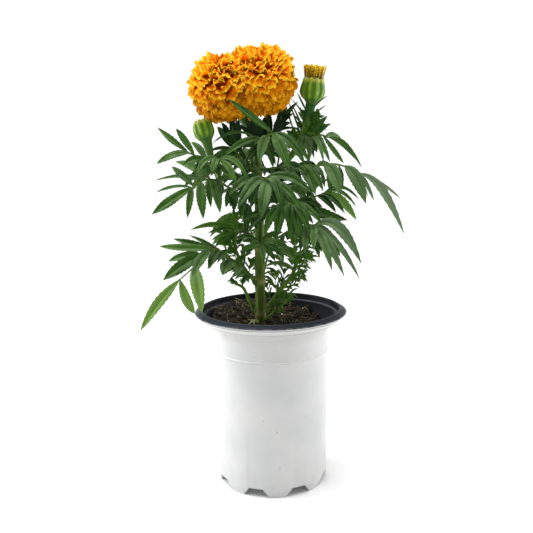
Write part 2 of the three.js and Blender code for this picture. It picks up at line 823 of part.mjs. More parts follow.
// One ray petal: it stands out of the head, then its ruffled end turns over, away from the top.
function petal(lobe, outward, random) {
  const axis = vec(HEAD.axis).normalize();
  const away = along(outward, axis, -outward.dot(axis));
  const down = along(axis, outward, -axis.dot(outward)).multiplyScalar(-1).normalize();
  if (away.lengthSq() < 0.02) down.set(0.3, -0.95, 0).normalize();
  const across = new THREE.Vector3().crossVectors(outward, down).normalize();
  const centre = vec(lobe.centre);
  const wave = random() < 0.5 ? 1 : -1;
  const reach = 0.96 + 0.06 * random();
  const row = (out, over, halfWidth, ruffle, normal, thickness) => {
    const middle = centre.clone().add(scaled(outward.clone().multiplyScalar(out), lobe.radii));
    const place = (side, wavePart, up) => {
      const edge = along(middle, down, over * (side === 0 ? 1 : PETAL.cornerShare));
      return along(along(edge, across, side * halfWidth), normal, wave * ruffle * wavePart + up);
    };
    return [
      place(-1, 1, 0),
      place(0, -1, thickness / 2),
      place(1, 1, 0),
      place(0, -1, -thickness / 2),
    ];
  };
  const lean = outward.clone().sub(down).normalize();
  const upright = down.clone().negate();
  const { halfWidths, thickness, ruffle } = PETAL;
  const rows = [
    row(PETAL.rootShare, -1, halfWidths[0], 0, upright, thickness),
    row(PETAL.turnShare * reach, 0, halfWidths[1], 0.5 * ruffle, lean, thickness),
    row(reach, PETAL.turnOver, halfWidths[2], ruffle, outward, PETAL.endThickness),
  ];
  return skin(rows, true);
}

function headCore(lobe) {
  const core = new THREE.IcosahedronGeometry(1, 1);
  const [rx, ry, rz] = lobe.radii.map((r) => r * HEAD.coreShare);
  core.scale(rx, ry, rz).translate(...lobe.centre);
  return geometrySolid(core);
}

function insideLobe(point, lobe, share) {
  const p = point.clone().sub(vec(lobe.centre));
  const [rx, ry, rz] = lobe.radii;
  return Math.hypot(p.x / rx, p.y / ry, p.z / rz) < share;
}

function flowerHead() {
  const random = seeded(SEEDS.petals);
  const solids = HEAD.lobes.map(headCore);
  const toAxis = new THREE.Quaternion();
  toAxis.setFromUnitVectors(new THREE.Vector3(0, 0, 1), vec(HEAD.axis).normalize());
  const golden = Math.PI * (3 - Math.sqrt(5));
  HEAD.lobes.forEach((lobe, which) => {
    const other = HEAD.lobes[1 - which];
    for (let i = 0; i < lobe.petals; i++) {
      const lowestCos = Math.cos(HEAD.lowest);
      const cos = 1 - ((i + 0.5) / lobe.petals) * (1 - lowestCos);
      const sin = Math.sqrt(1 - cos * cos);
      const turn = i * golden + which;
      const outward = vec([sin * Math.cos(turn), sin * Math.sin(turn), cos]);
      outward.applyQuaternion(toAxis);
      const end = vec(lobe.centre).add(scaled(outward, lobe.radii));
      if (insideLobe(end, other, 0.86)) continue;
      solids.push(petal(lobe, outward, random));
    }
  });
  return fused(solids);
}

// Green cups and stalks under the flower head and the buds

// A turned body along a straight axis: [distance along the axis, radius], with upright ribs.
function ribbedCup(base, top, profile, ribs, ribDepth) {
  const from = vec(base);
  const axis = vec(top).sub(from).normalize();
  const across = new THREE.Vector3(1, 0, 0).addScaledVector(axis, -axis.x).normalize();
  const other = new THREE.Vector3().crossVectors(axis, across);
  const sides = ribs * 2;
  const rings = profile.map(([distance, radius, ribbed]) => {
    const ring = [];
    for (let j = 0; j < sides; j++) {
      const angle = (2 * Math.PI * j) / sides;
      const r = radius * (1 + (j % 2 ? -ribDepth : ribDepth) * ribbed);
      const point = along(from, axis, distance);
      ring.push(along(along(point, across, r * Math.cos(angle)), other, r * Math.sin(angle)));
    }
    return ring;
  });
  return skin(rings);
}

const FLOWER_CUP = {
  base: [-10.2, -0.1, 271.1],
  top: [-17, -3, 297],
  profile: [[0, 2.7, 0], [8, 3.9, 0], [13, 6.4, 0.5], [19, 8.2, 1], [27, 9.4, 1]],
};
const LEFT_BUD = {
  base: [-42.1, -22.2, 258.9],
  top: [-48.9, -17, 284],
  profile: [
    [0, 1.7, 0],
    [8, 2.5, 0],
    [14, 3.6, 0.3],
    [17, 5.7, 1],
    [21, 6.9, 1],
    [25.5, 6.5, 1],
    [29, 4.8, 0.8],
    [29.6, 2.4, 0],
  ],
};
const RIGHT_BUD = {
  base: [32.5, 1.9, 298.6],
  top: [35.8, 0, 326],
  profile: [
    [0, 1.9, 0],
    [3, 4.4, 0],
    [6, 7.0, 0.6],
    [10, 8.7, 1],
    [15, 8.3, 1],
    [18.5, 7.4, 1],
    [18.5, 5.6, 0.4],
  ],
};
const TINY_BUD = {
  carrier: "branch_right",
  u: 0.38,
  top: [13, -3, 288],
  profile: [[0, 0.8, 0], [22, 0.9, 0], [24, 2.6, 0], [27, 3.1, 1], [29.5, 2.0, 0]],
};
const BRUSH = { count: 11, height: 12, radius: 5.2, flare: 3.4, width: 3.6 };

function cupSolid(cup, ribs) {
  return ribbedCup(cup.base, cup.top, cup.profile, ribs, 0.055);
}

// The brush of florets that stands out of the opening bud.
function floretBrush() {
  const base = vec(RIGHT_BUD.base);
  const axis = vec(RIGHT_BUD.top).sub(base).normalize();
  const cupTop = RIGHT_BUD.profile[RIGHT_BUD.profile.length - 1][0];
  const foot = along(base, axis, cupTop + GAP);
  const across = new THREE.Vector3(1, 0, 0).addScaledVector(axis, -axis.x).normalize();
  const other = new THREE.Vector3().crossVectors(axis, across);
  const ringPoint = (angle, radius, height) => {
    const point = along(foot, axis, height);
    return along(along(point, across, radius * Math.cos(angle)), other, radius * Math.sin(angle));
  };
  const ring = (radius, height) => {
    const points = [];
    for (let j = 0; j < 8; j++) points.push(ringPoint((2 * Math.PI * j) / 8, radius, height));
    return points;
  };
  const solids = [skin([ring(BRUSH.radius, 0), ring(BRUSH.radius + 0.8, 7)])];
  for (let i = 0; i < BRUSH.count; i++) {
    const angle = (2 * Math.PI * i) / BRUSH.count;
    const height = BRUSH.height * (0.88 + 0.2 * Math.abs(Math.sin(2.3 * i)));
    const outward = ringPoint(angle, 1, 0).sub(foot);
    const from = ringPoint(angle, BRUSH.radius - 0.6, 1);
    const to = ringPoint(angle, BRUSH.radius + BRUSH.flare, height);
    solids.push(blade(from, to, BRUSH.width, 0, outward, [[0.75, 1.7]]));
  }
  return fused(solids);
}

// The whole plant in its pot

function buildPlant() {
  const plant = new THREE.Group();
  plant.add(meshOf("pot", potSolid(), WHITE, 0.35));
  plant.add(meshOf("soil", soilSolid(), PEAT, 0.95));

  const stem = mainStem();
  plant.add(meshOf("main_stem", stem.solid, GREEN.stem, 0.6));
  const carriers = { main_stem: stem.path };
  for (const [name, plan] of Object.entries(BRANCHES)) {
    const made = branch(stem, plan);
    carriers[name] = made.path;
    plant.add(meshOf(name, made.solid, GREEN.youngLeaf, 0.6));
  }

  const random = seeded(SEEDS.farLeaves);
  const leaves = [...LEAVES, ...FAR_LEAVES.map((plan) => farLeaf(plan, random))];
  for (const leaf of leaves) {
    const u = leaf.u ?? stemShare(leaf.z);
    const face = leaf.azimuth === undefined ? LEAF_FACE : BACK_FACE;
    const solid = pinnateLeaf({ ...leaf, u }, carriers[leaf.carrier], face);
    plant.add(meshOf(leaf.name, solid, GREEN.leaf, 0.55));
  }

  const roomForCup = {
    ...FLOWER_CUP,
    profile: FLOWER_CUP.profile.map(([d, r, ribbed], i) => [i ? d + GAP : d, r + 2 * GAP, ribbed]),
  };
  const head = largestBody(flowerHead().subtract(cupSolid(roomForCup, 8)));
  plant.add(meshOf("flower_head", head, ORANGE, 0.6));
  plant.add(meshOf("flower_cup", cupSolid(FLOWER_CUP, 8), GREEN.cup, 0.55));
  plant.add(meshOf("bud_left", cupSolid(LEFT_BUD, 10), GREEN.cup, 0.5));
  plant.add(meshOf("bud_right_cup", cupSolid(RIGHT_BUD, 10), GREEN.cup, 0.5));
  plant.add(meshOf("bud_right_florets", floretBrush(), YELLOW, 0.6));
  const [, base] = seat(carriers[TINY_BUD.carrier], TINY_BUD.u, TINY_BUD.top);
  plant.add(meshOf("bud_tiny", cupSolid({ ...TINY_BUD, base }, 5), GREEN.cup, 0.55));
  return plant;
}

export default buildPlant();
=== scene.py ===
# A potted marigold: finished surfaces, floor, light and camera, in the frame of its solids:
# +Z up, the plant's front towards -Y. Sizes are in millimetres and become metres where a
# mesh, a light or the camera is made; only the nodes of the materials count in metres.
import math

import bpy
import numpy as np
from mathutils import Matrix, Vector, noise


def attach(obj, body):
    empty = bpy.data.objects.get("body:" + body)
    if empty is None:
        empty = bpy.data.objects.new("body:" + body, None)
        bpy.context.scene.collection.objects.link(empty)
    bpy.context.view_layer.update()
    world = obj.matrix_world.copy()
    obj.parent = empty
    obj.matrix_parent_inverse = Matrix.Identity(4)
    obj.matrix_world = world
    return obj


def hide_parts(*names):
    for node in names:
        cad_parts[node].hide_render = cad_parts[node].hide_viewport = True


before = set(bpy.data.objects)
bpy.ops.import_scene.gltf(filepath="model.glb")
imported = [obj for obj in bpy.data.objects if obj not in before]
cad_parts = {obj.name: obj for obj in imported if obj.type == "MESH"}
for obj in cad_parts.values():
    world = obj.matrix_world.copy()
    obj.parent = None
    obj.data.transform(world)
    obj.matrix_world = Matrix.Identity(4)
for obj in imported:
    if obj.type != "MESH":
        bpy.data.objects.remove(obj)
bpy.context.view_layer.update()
MM = 0.001

# Sizes that the finished pieces share with the solids, and the seeds of random draws
POT = {
    "height": 141,
    "rim": 60,
    "neck": 45.7,
    "foot": 42.5,
    "wall": 1.4,
    "floor": 8,
    "floor_thickness": 2,
}
FEET = {"count": 8, "first": -85.3, "height": 7, "top": 11.2, "bottom": 21.2}
DRAIN = {"count": 4, "radius": 4.5, "distance": 26}
SOIL = {"level": 128, "to_back": 8, "to_right": 5, "lump": 2.2}
SEEDS = {"soil": 5, "head": 26, "florets": 41, "leaves": 77, "far_leaves": 30}

# Inside of the pot: its floor, and its wall's radius there and up in the neck's throat
FLOOR_TOP = POT["floor"] + POT["floor_thickness"]
WALL_FOOT = POT["foot"] + 0.8 - POT["wall"]
WALL_NECK = POT["neck"] - POT["wall"]
THROAT = POT["height"] - 14

UP = np.array([0.0, 0.0, 1.0])
GOLDEN = math.pi * (3 - math.sqrt(5))


# Numbers, directions and random draws


def vec(*p):
    """A point or direction, from its numbers or from one sequence of them."""
    return np.array(p[0] if len(p) == 1 else p, float)


def unit(v):
    return v / np.linalg.norm(v)


def compass(turn):
    """The level direction at an angle from +X."""
    return vec(math.cos(turn), math.sin(turn), 0)


def rotated(a, b, turn):
    """Two crossed directions, turned by an angle in their plane."""
    return a * math.cos(turn) + b * math.sin(turn), b * math.cos(turn) - a * math.sin(turn)


def across_axis(axis):
    """Two crossed directions square to an axis."""
    across = unit(vec(1, 0, 0) - axis * axis[0])
    return across, np.cross(axis, across)


def angles_round(count):
    return np.linspace(0, 2 * math.pi, count, endpoint=False)


def circle(centre, radius, angles, across=(1, 0, 0), other=(0, 1, 0)):
    """Points round a centre in the plane of two directions, which is level if none are given."""
    return centre + np.outer(radius * np.cos(angles), across) + np.outer(radius * np.sin(angles), other)


def seeded(seed):
    """The same draws as the solids use, from 0 to 1."""
    mask = 0xFFFFFFFF
    state = seed & mask

    def draw():
        nonlocal state
        state = (state + 0x6D2B79F5) & mask
        t = ((state ^ (state >> 15)) * (1 | state)) & mask
        t = ((t + (((t ^ (t >> 7)) * (61 | t)) & mask)) ^ t) & mask
        return (t ^ (t >> 14)) / 4294967296

    return draw


def smooth(x, low=0.0, high=1.0):
    """A soft step from 0 at low to 1 at high."""
    t = np.clip((x - low) / (high - low), 0, 1)
    return t * t * (3 - 2 * t)


class Stalk:
    """A smooth path through given points, with its radius from end to end."""

    def __init__(self, points, radii=()):
        self.points = [vec(p) for p in points]
        self.radii = radii

    def at(self, u):
        p = self.points
        place = min(max(u, 0.0), 1.0) * (len(p) - 1)
        i = min(int(place), len(p) - 2)
        t = place - i
        before = p[i - 1] if i > 0 else 2 * p[0] - p[1]
        after = p[i + 2] if i + 2 < len(p) else 2 * p[-1] - p[-2]
        a, b = 0.5 * (p[i + 1] - before), 0.5 * (after - p[i])
        c2 = -3 * p[i] + 3 * p[i + 1] - 2 * a - b
        c3 = 2 * p[i] - 2 * p[i + 1] + a + b
        return p[i] + a * t + c2 * t * t + c3 * t * t * t

    def heading(self, u):
        step = 1e-4
        return unit(self.at(min(u + step, 1)) - self.at(max(u - step, 0)))

    def radius(self, u):
        return np.interp(u, np.linspace(0, 1, len(self.radii)), self.radii)

    def length(self):
        places = [self.at(i / 60) for i in range(61)]
        return sum(np.linalg.norm(b - a) for a, b in zip(places, places[1:]))


# Meshes


class Shape:
    """Gathers one piece's points, faces, material slots and point values."""

    def __init__(self, name):
        self.name = name
        self.points, self.loops, self.sizes, self.slots = [], [], [], []
        self.values = {}
        self.count = 0

    def loft(self, rings, slot=0, **values):
        """A closed shell through rings of points, each with as many points, capped at both ends
        and turned to face outwards. Its slot is one number, or one a face, the caps last."""
        rings = np.asarray(rings, float)
        steps, around = rings.shape[:2]
        i, j = np.meshgrid(np.arange(steps - 1), np.arange(around), indexing="ij")
        k = (j + 1) % around
        corners = (i * around + j, i * around + k, (i + 1) * around + k, (i + 1) * around + j)
        quads = np.stack(corners, -1).reshape(-1, 4)
        caps = np.array([np.arange(around)[::-1], np.arange(around) + (steps - 1) * around])
        points = rings.reshape(-1, 3)
        a, b, c, d = (points[quads[:, n]] for n in range(4))
        volume = (a * np.cross(b, c)).sum() + (a * np.cross(c, d)).sum()
        for cap in caps:
            p = points[cap]
            volume += (p[0] * np.cross(p[1:-1], p[2:])).sum()
        if volume < 0:
            quads, caps = quads[:, ::-1], caps[:, ::-1]
        self.loops += [quads.ravel() + self.count, caps.ravel() + self.count]
        self.sizes += [4] * len(quads) + [around] * 2
        self.slots += list(np.broadcast_to(slot, (len(quads) + 2,)))
        for key in self.values | values:
            parts = self.values.setdefault(key, [np.zeros(self.count)])
            parts.append(np.broadcast_to(values.get(key, 0.0), (len(points),)))
        self.points.append(points)
        self.count += len(points)

    def place(self):
        """The shape as an object in the scene, all of it smooth."""
        mesh = bpy.data.meshes.new(self.name)
        points = np.concatenate(self.points) * MM
        loops = np.concatenate(self.loops)
        sizes = np.array(self.sizes)
        mesh.vertices.add(len(points))
        mesh.vertices.foreach_set("co", points.astype(np.float32).ravel())
        mesh.loops.add(len(loops))
        mesh.loops.foreach_set("vertex_index", loops.astype(np.int32))
        mesh.polygons.add(len(sizes))
        mesh.polygons.foreach_set("loop_start", (np.cumsum(sizes) - sizes).astype(np.int32))
        mesh.polygons.foreach_set("material_index", np.array(self.slots, np.int32))
        mesh.polygons.foreach_set("use_smooth", np.ones(len(sizes), bool))
        for key, parts in self.values.items():
            attribute = mesh.attributes.new(key, "FLOAT", "POINT")
            attribute.data.foreach_set("value", np.concatenate(parts).astype(np.float32))
        mesh.update(calc_edges=True)
        piece = bpy.data.objects.new(self.name, mesh)
        bpy.context.scene.collection.objects.link(piece)
        return piece

    def make(self, materials, replaces, crease=40):
        """The shape as a finished piece; edges sharper than the crease, in degrees, stay sharp."""
        piece = self.place()
        piece.data.set_sharp_from_angle(angle=math.radians(crease))
        for material in materials:
            piece.data.materials.append(material)
        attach(piece, "root")
        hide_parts(*replaces)
        return piece


def tube(shape, path, sides, steps, thickness=lambda u, angle: 1.0, **values):
    """A round stalk; thickness multiplies its radius by place and angle."""
    angles = angles_round(sides)
    shares = [i / steps for i in range(steps + 1)]
    across = vec(0.31, 0.17, 0.93)
    rings = []
    for u in shares:
        heading = path.heading(u)
        across = unit(across - heading * across.dot(heading))
        r = path.radius(u) * thickness(u, angles)
        rings.append(circle(path.at(u), r, angles, across, np.cross(heading, across)))
    shape.loft(rings, along=np.repeat(shares, sides), **values)


# Materials


class Look:
    """Builds one material's nodes. Its colour is painted, then coated with others in turn."""

    def __init__(self, name, **sockets):
        self.material = bpy.data.materials.new(name)
        self.material.use_nodes = True
        self.tree = self.material.node_tree
        self.shader = self.tree.nodes["Principled BSDF"]
        for key, value in sockets.items():
            self.shader.inputs[key.replace("_", " ")].default_value = value
        self.place = self.node("ShaderNodeTexCoord", {})["Object"]

    def node(self, kind, inputs, **settings):
        """A new node's outputs; its inputs, by number or name, are linked or set."""
        made = self.tree.nodes.new(kind)
        for key, value in settings.items():
            setattr(made, key, value)
        for key, source in inputs.items():
            self.link(source, made.inputs[key])
        return made.outputs

    def link(self, source, socket):
        if isinstance(source, bpy.types.NodeSocket):
            self.tree.links.new(source, socket)
        else:
            socket.default_value = (*source, 1) if socket.type == "RGBA" else source

    def value(self, name):
        return self.node("ShaderNodeAttribute", {}, attribute_name=name)["Fac"]

    def parts(self, vector):
        """A vector's three numbers."""
        return self.node("ShaderNodeSeparateXYZ", {0: vector})

    def math(self, operation, a, b=0.0, clamp=False):
        return self.node("ShaderNodeMath", {0: a, 1: b}, operation=operation, use_clamp=clamp)[0]

    def times(self, a, b):
        return self.math("MULTIPLY", a, b)

    def band(self, source, low, high, to_low=0.0, to_high=1.0):
        """A soft step in a source between two of its values."""
        amounts = dict(enumerate((source, low, high, to_low, to_high)))
        return self.node("ShaderNodeMapRange", amounts, interpolation_type="SMOOTHSTEP")[0]

    def line(self, source, at, half_width):
        """A thin line where a source has one value."""
        off = self.math("ABSOLUTE", self.math("SUBTRACT", source, at))
        return self.band(off, half_width, 0.0002)

    def noise(self, scale, detail=4.0, roughness=0.55, stretch=None):
        """Soft noise of about 1 / scale metres; stretch multiplies its size on each axis."""
        place = self.place
        if stretch:
            scales = [1 / s for s in stretch]
            place = self.node("ShaderNodeMapping", {"Vector": place, "Scale": scales})[0]
        inputs = {"Vector": place, "Scale": scale, "Detail": detail, "Roughness": roughness}
        return self.node("ShaderNodeTexNoise", inputs)["Fac"]

    def grains(self, scale):
        """Distance from scattered points, about 1 / scale metres apart."""
        return self.node("ShaderNodeTexVoronoi", {"Vector": self.place, "Scale": scale})["Distance"]

    def upward(self, low, high):
        """How far a surface faces up, as a soft step between two heights of its normal."""
        normal = self.node("ShaderNodeNewGeometry", {})["Normal"]
        return self.band(self.parts(normal)[2], low, high)

    def mix(self, share, under, over):
        return self.node("ShaderNodeMix", {0: share, 6: under, 7: over}, data_type="RGBA")[2]

    def paint(self, share, under, over):
        """Two colours mixed, as the surface's own."""
        self.colour = self.mix(share, under, over)
        self.link(self.colour, self.shader.inputs["Base Color"])

    def coat(self, share, colour, strength=None):
        """A colour laid over all that is painted so far."""
        self.paint(self.times(share, strength) if strength else share, self.colour, colour)

    def rough(self, amount):
        self.link(amount, self.shader.inputs["Roughness"])

    def bump(self, height, distance, strength):
        inputs = {"Strength": strength, "Distance": distance * MM, "Height": height}
        self.link(self.node("ShaderNodeBump", inputs)[0], self.shader.inputs["Normal"])


def leaf_look(name, dark, light, pale, sheen_colour):
    """Leaf skin: blotched green, light or dark by its tone, a pale rib and side veins, a duller
    underside, painted greyish sheen facing up and on some leaflets, painted near black shade in gloom."""
    look = Look(name, Roughness=0.5, Specular_IOR_Level=0.12)
    side = look.math("ABSOLUTE", look.value("across"))
    tone = look.value("tone")
    blotch = look.band(look.noise(160), 0.35, 0.68)
    look.paint(look.math("ADD", look.times(blotch, 0.35), tone, clamp=True), dark, light)
    look.coat(look.band(tone, 0.85, 1.35), (0.13, 0.238, 0.04))
    veins = look.math("SUBTRACT", look.times(look.value("along"), 13.0), look.times(side, 1.5))
    vein = look.band(look.math("PINGPONG", veins, 0.5), 0.07, 0.0)
    vein = look.times(vein, look.band(side, 0.95, 0.5))
    rib = look.band(side, 0.13, 0.02)
    look.coat(vein, pale, 0.22)
    look.coat(rib, pale, 0.6)
    look.coat(look.value("under"), (pale[0] * 0.8, pale[1] * 0.75, pale[2]), 0.45)
    # Painted sheen: a greyish highlight painted in patches on leaf faces that face up
    sheen_patches = look.band(look.noise(110, 3), 0.3, 0.65, 0.3, 1)
    look.coat(look.times(look.upward(0.3, 0.95), sheen_patches), sheen_colour, 0.6)
    # Painted sheen: a grey reflection painted on the leaflets given a sheen value
    look.coat(look.value("wax"), (0.28, 0.33, 0.25))
    # Painted shade: leaflets whose tone is very low, the fillers under the bloom, are painted near black
    gloom = look.band(tone, -0.4, -0.8)
    look.coat(gloom, (0.004, 0.02, 0.004), 0.85)
    look.rough(look.band(look.noise(700), 0.3, 0.7, 0.4, 0.6))
    look.bump(look.math("SUBTRACT", look.noise(900, 3), look.times(vein, 0.9)), 0.12, 0.6)
    return look.material


def stem_look(name, green, dark, brown_below=None):
    """Stem skin: long streaks, paler swollen joints, dark green under the right bud, and brown
    from a height down to the soil."""
    look = Look(name, Roughness=0.5, Specular_IOR_Level=0.12)
    look.paint(look.band(look.noise(300, 5, 0.6, (1, 1, 14)), 0.35, 0.65), dark, green)
    look.coat(look.value("joint"), (0.3, 0.32, 0.1), 0.5)
    near_bud = look.band(look.value("along"), 0.72, 0.86)
    look.coat(look.times(near_bud, look.value("under_bud")), (0.02, 0.07, 0.012))
    if brown_below:
        low = look.band(look.parts(look.place)[2], brown_below * MM, SOIL["level"] * MM)
        look.coat(look.times(low, look.band(look.noise(220), 0.3, 0.6)), (0.07, 0.06, 0.018))
    look.bump(look.noise(500, 4, 0.6, (1, 1, 8)), 0.18, 0.7)
    return look.material


def petal_look():
    """Petals: bright orange faces, painted shade in dark mottled folds, painted ochre shade low on
    the head, yellow ruffled edges partly a painted highlight.
    """
    look = Look("petal_orange", Roughness=0.68, Specular_IOR_Level=0.06)
    look.paint(look.band(look.noise(120, 3), 0.3, 0.7), (1.0, 0.19, 0.0), (1.0, 0.32, 0.0))
    mottled = look.band(look.noise(280, 5, 0.7), 0.42, 0.6)
    # Painted shade: petal bases down in the crevices, and the head's core, are painted dark red-brown
    look.coat(look.value("deep"), look.mix(mottled, (0.2, 0.025, 0.0), (0.6, 0.095, 0.0)))
    # Painted shade: the lower part of the head is painted ochre, and its edges darker
    shade = look.value("shade")
    patchy = look.band(look.noise(150, 3), 0.35, 0.65)
    look.coat(shade, look.mix(patchy, (0.24, 0.068, 0.0), (0.47, 0.165, 0.0)), 0.9)
    # Yellow edges: partly their own colour, partly a painted highlight, brightest on the ruffles' crests
    edge = look.times(look.value("edge"), look.band(look.noise(260, 3), 0.25, 0.6, 0.6, 1.0))
    look.coat(edge, look.mix(shade, (1.0, 0.73, 0.035), (0.6, 0.27, 0.001)))
    lines = look.math("SINE", look.times(look.value("across"), 34.0))
    look.bump(look.math("ADD", look.times(lines, 0.3), look.noise(800, 2)), 0.15, 0.5)
    return look.material


def calyx_look():
    """Bud cups: yellow-green ridges between darker furrows, a paler rim, a dark streaked stalk,
    painted shade in the mouth and light specks."""
    look = Look("calyx_green", Roughness=0.42, Specular_IOR_Level=0.16)
    blotch = look.band(look.noise(170, 4), 0.3, 0.65, 0.15, 1)
    ridge = look.times(look.band(look.value("rib"), 0.3, 1.0), blotch)
    look.paint(ridge, (0.05, 0.13, 0.006), (0.23, 0.35, 0.02))
    look.coat(look.value("rim"), (0.42, 0.42, 0.07), 0.8)
    streaks = look.band(look.noise(260, 4, 0.6, (1, 1, 10)), 0.35, 0.65, 0.2, 1)
    look.coat(look.times(look.value("stalk"), streaks), (0.02, 0.07, 0.008))
    # Painted shade: the inside of the cup's mouth is painted dark brown
    look.coat(look.value("mouth"), (0.05, 0.022, 0.01))
    look.coat(look.band(look.noise(900, 3), 0.62, 0.75, 0, 0.35), (0.3, 0.4, 0.1))
    look.bump(look.noise(600, 3), 0.1, 0.5)
    return look.material


def floret_look():
    """Florets: yellow with brown spots, paler at the end, painted shade where they leave the cup."""
    look = Look("floret_yellow", Roughness=0.6, Specular_IOR_Level=0.12)
    spots = look.band(look.noise(420, 4, 0.5, (1, 1, 0.3)), 0.42, 0.62)
    look.paint(spots, (0.16, 0.08, 0.002), (0.66, 0.42, 0.008))
    look.coat(look.value("edge"), (0.9, 0.62, 0.03))
    # Painted shade on the florets' feet, down inside the cup
    look.coat(look.value("deep"), (0.11, 0.08, 0.003))
    look.bump(look.noise(900, 3), 0.15, 0.6)
    return look.material


def pot_outside_look():
    """White moulded plastic: faint mottling, painted shade under the flange, thin painted shade
    lines and a painted highlight line at its edges, dirt specks, patchy warm grey low down and
    fine upright scuffs."""
    look = Look("pot_white", Roughness=0.38, Specular_IOR_Level=0.4)
    height = look.parts(look.place)[2]
    mottling = look.band(look.noise(30, 5), 0.35, 0.7)
    look.paint(mottling, (0.48, 0.487, 0.49), (0.53, 0.53, 0.525))
    # Painted shade: a warm grey band under the flange
    shade_under_flange = look.times(look.band(height, 0.119, 0.129), look.band(height, 0.136, 0.131))
    look.coat(shade_under_flange, (0.37, 0.36, 0.33), 0.5)
    # Painted shade lines in the flange's grooves and under the step, and a painted highlight line on the
    # step's bead
    shade_grey, bright = (0.16, 0.15, 0.14), (0.8, 0.8, 0.79)
    lines = ((0.1369, 0.75, shade_grey), (0.1322, 0.35, shade_grey), (0.1092, 0.8, bright), (0.1078, 0.25, shade_grey))
    for at, strength, tint in lines:
        look.coat(look.line(height, at, 0.0007), tint, strength)
    look.coat(look.band(look.noise(420, 2, 0.4), 0.755, 0.78), (0.2, 0.18, 0.15), 0.5)
    # Patchy warm grey towards the bottom
    low_patches = look.times(look.band(height, 0.03, 0.0), look.band(look.noise(150, 5), 0.5, 0.75))
    look.coat(low_patches, (0.45, 0.42, 0.36), 0.5)
    scuffs = look.band(look.noise(90, 6, 0.7, (5, 5, 0.6)), 0.62, 0.68)
    look.coat(scuffs, (0.5, 0.5, 0.5), 0.12)
    look.rough(look.band(look.noise(60, 4), 0.3, 0.7, 0.3, 0.46))
    look.bump(look.noise(70, 2), 0.04, 0.4)
    return look.material


def pot_inside_look():
    """Black plastic, painted lighter where it faces up and painted shade blackest below the lip, a
    rim edge partly worn and partly a painted highlight, painted highlight lines on the lip's crest
    and on the ledge inside it, and a dusting of dry peat."""
    look = Look("pot_black", Roughness=0.42, Specular_IOR_Level=0.08)
    x, y, height = look.parts(look.place)
    radius = look.math("SQRT", look.math("ADD", look.times(x, x), look.times(y, y)))
    facing_up = look.upward(0.35, 0.75)
    # Painted light: faces that look up are painted greyer
    look.paint(facing_up, (0.004, 0.006, 0.01), (0.024, 0.03, 0.039))
    # Painted shade: the wall below the lip is painted blackest
    look.coat(look.band(radius, 0.054, 0.0525), (0.0025, 0.004, 0.006))
    # The rim's outer edge: patchy light grey, partly wear and partly a painted highlight
    rim_wear_and_highlight = look.band(look.noise(260, 4), 0.35, 0.6)
    look.coat(look.times(look.band(radius, 0.0588, 0.0596), rim_wear_and_highlight), (0.13, 0.14, 0.15))
    # Painted highlights: thin bright lines on the ledge inside the lip and on the lip's crest
    for source, at in ((height, 0.1359), (radius, 0.0552)):
        look.coat(look.line(source, at, 0.0006), (0.1, 0.11, 0.125), 0.8)
    dust = look.band(look.noise(200, 6, 0.7), 0.5, 0.8)
    look.coat(dust, (0.045, 0.04, 0.034), 0.12)
    worn = look.band(look.noise(120, 4), 0.35, 0.65, 0.0, 0.15)
    look.rough(look.math("ADD", look.band(facing_up, 0.0, 1.0, 0.58, 0.36), worn))
    look.bump(look.noise(300, 3), 0.08, 0.4)
    return look.material


def soil_look():
    """Peat: dark clods, with pale chips among them."""
    look = Look("peat", Roughness=0.95)
    look.paint(look.band(look.noise(260, 6, 0.7), 0.3, 0.7), (0.004, 0.003, 0.002), (0.05, 0.033, 0.014))
    look.coat(look.band(look.grains(380), 0.12, 0.03), (0.3, 0.2, 0.09), 0.8)
    look.bump(look.noise(500, 6, 0.75), 1.0, 0.9)
    return look.material


def plain_grain_look(name, dark, light, scale):
    """A dull surface in patches of two shades."""
    look = Look(name, Roughness=0.85)
    look.paint(look.band(look.noise(scale, 4), 0.35, 0.65), dark, light)
    look.bump(look.noise(scale * 2, 3), 0.2, 0.6)
    return look.material


# Leaves are dark, light, pale (rib and veins) and painted sheen; stems are green and dark
LEAF = leaf_look(
    "leaf_green", (0.006, 0.034, 0.003), (0.053, 0.15, 0.013), (0.16, 0.29, 0.06), (0.2, 0.31, 0.14)
)
YOUNG_LEAF = leaf_look(
    "young_leaf_green", (0.01, 0.052, 0.003), (0.07, 0.2, 0.01), (0.18, 0.33, 0.055), (0.18, 0.31, 0.09)
)
STEM = stem_look("stem_green", (0.085, 0.135, 0.012), (0.03, 0.066, 0.004), brown_below=150)
YOUNG_STEM = stem_look("young_stem_green", (0.11, 0.2, 0.018), (0.04, 0.11, 0.008))
CALYX = calyx_look()


# Pot


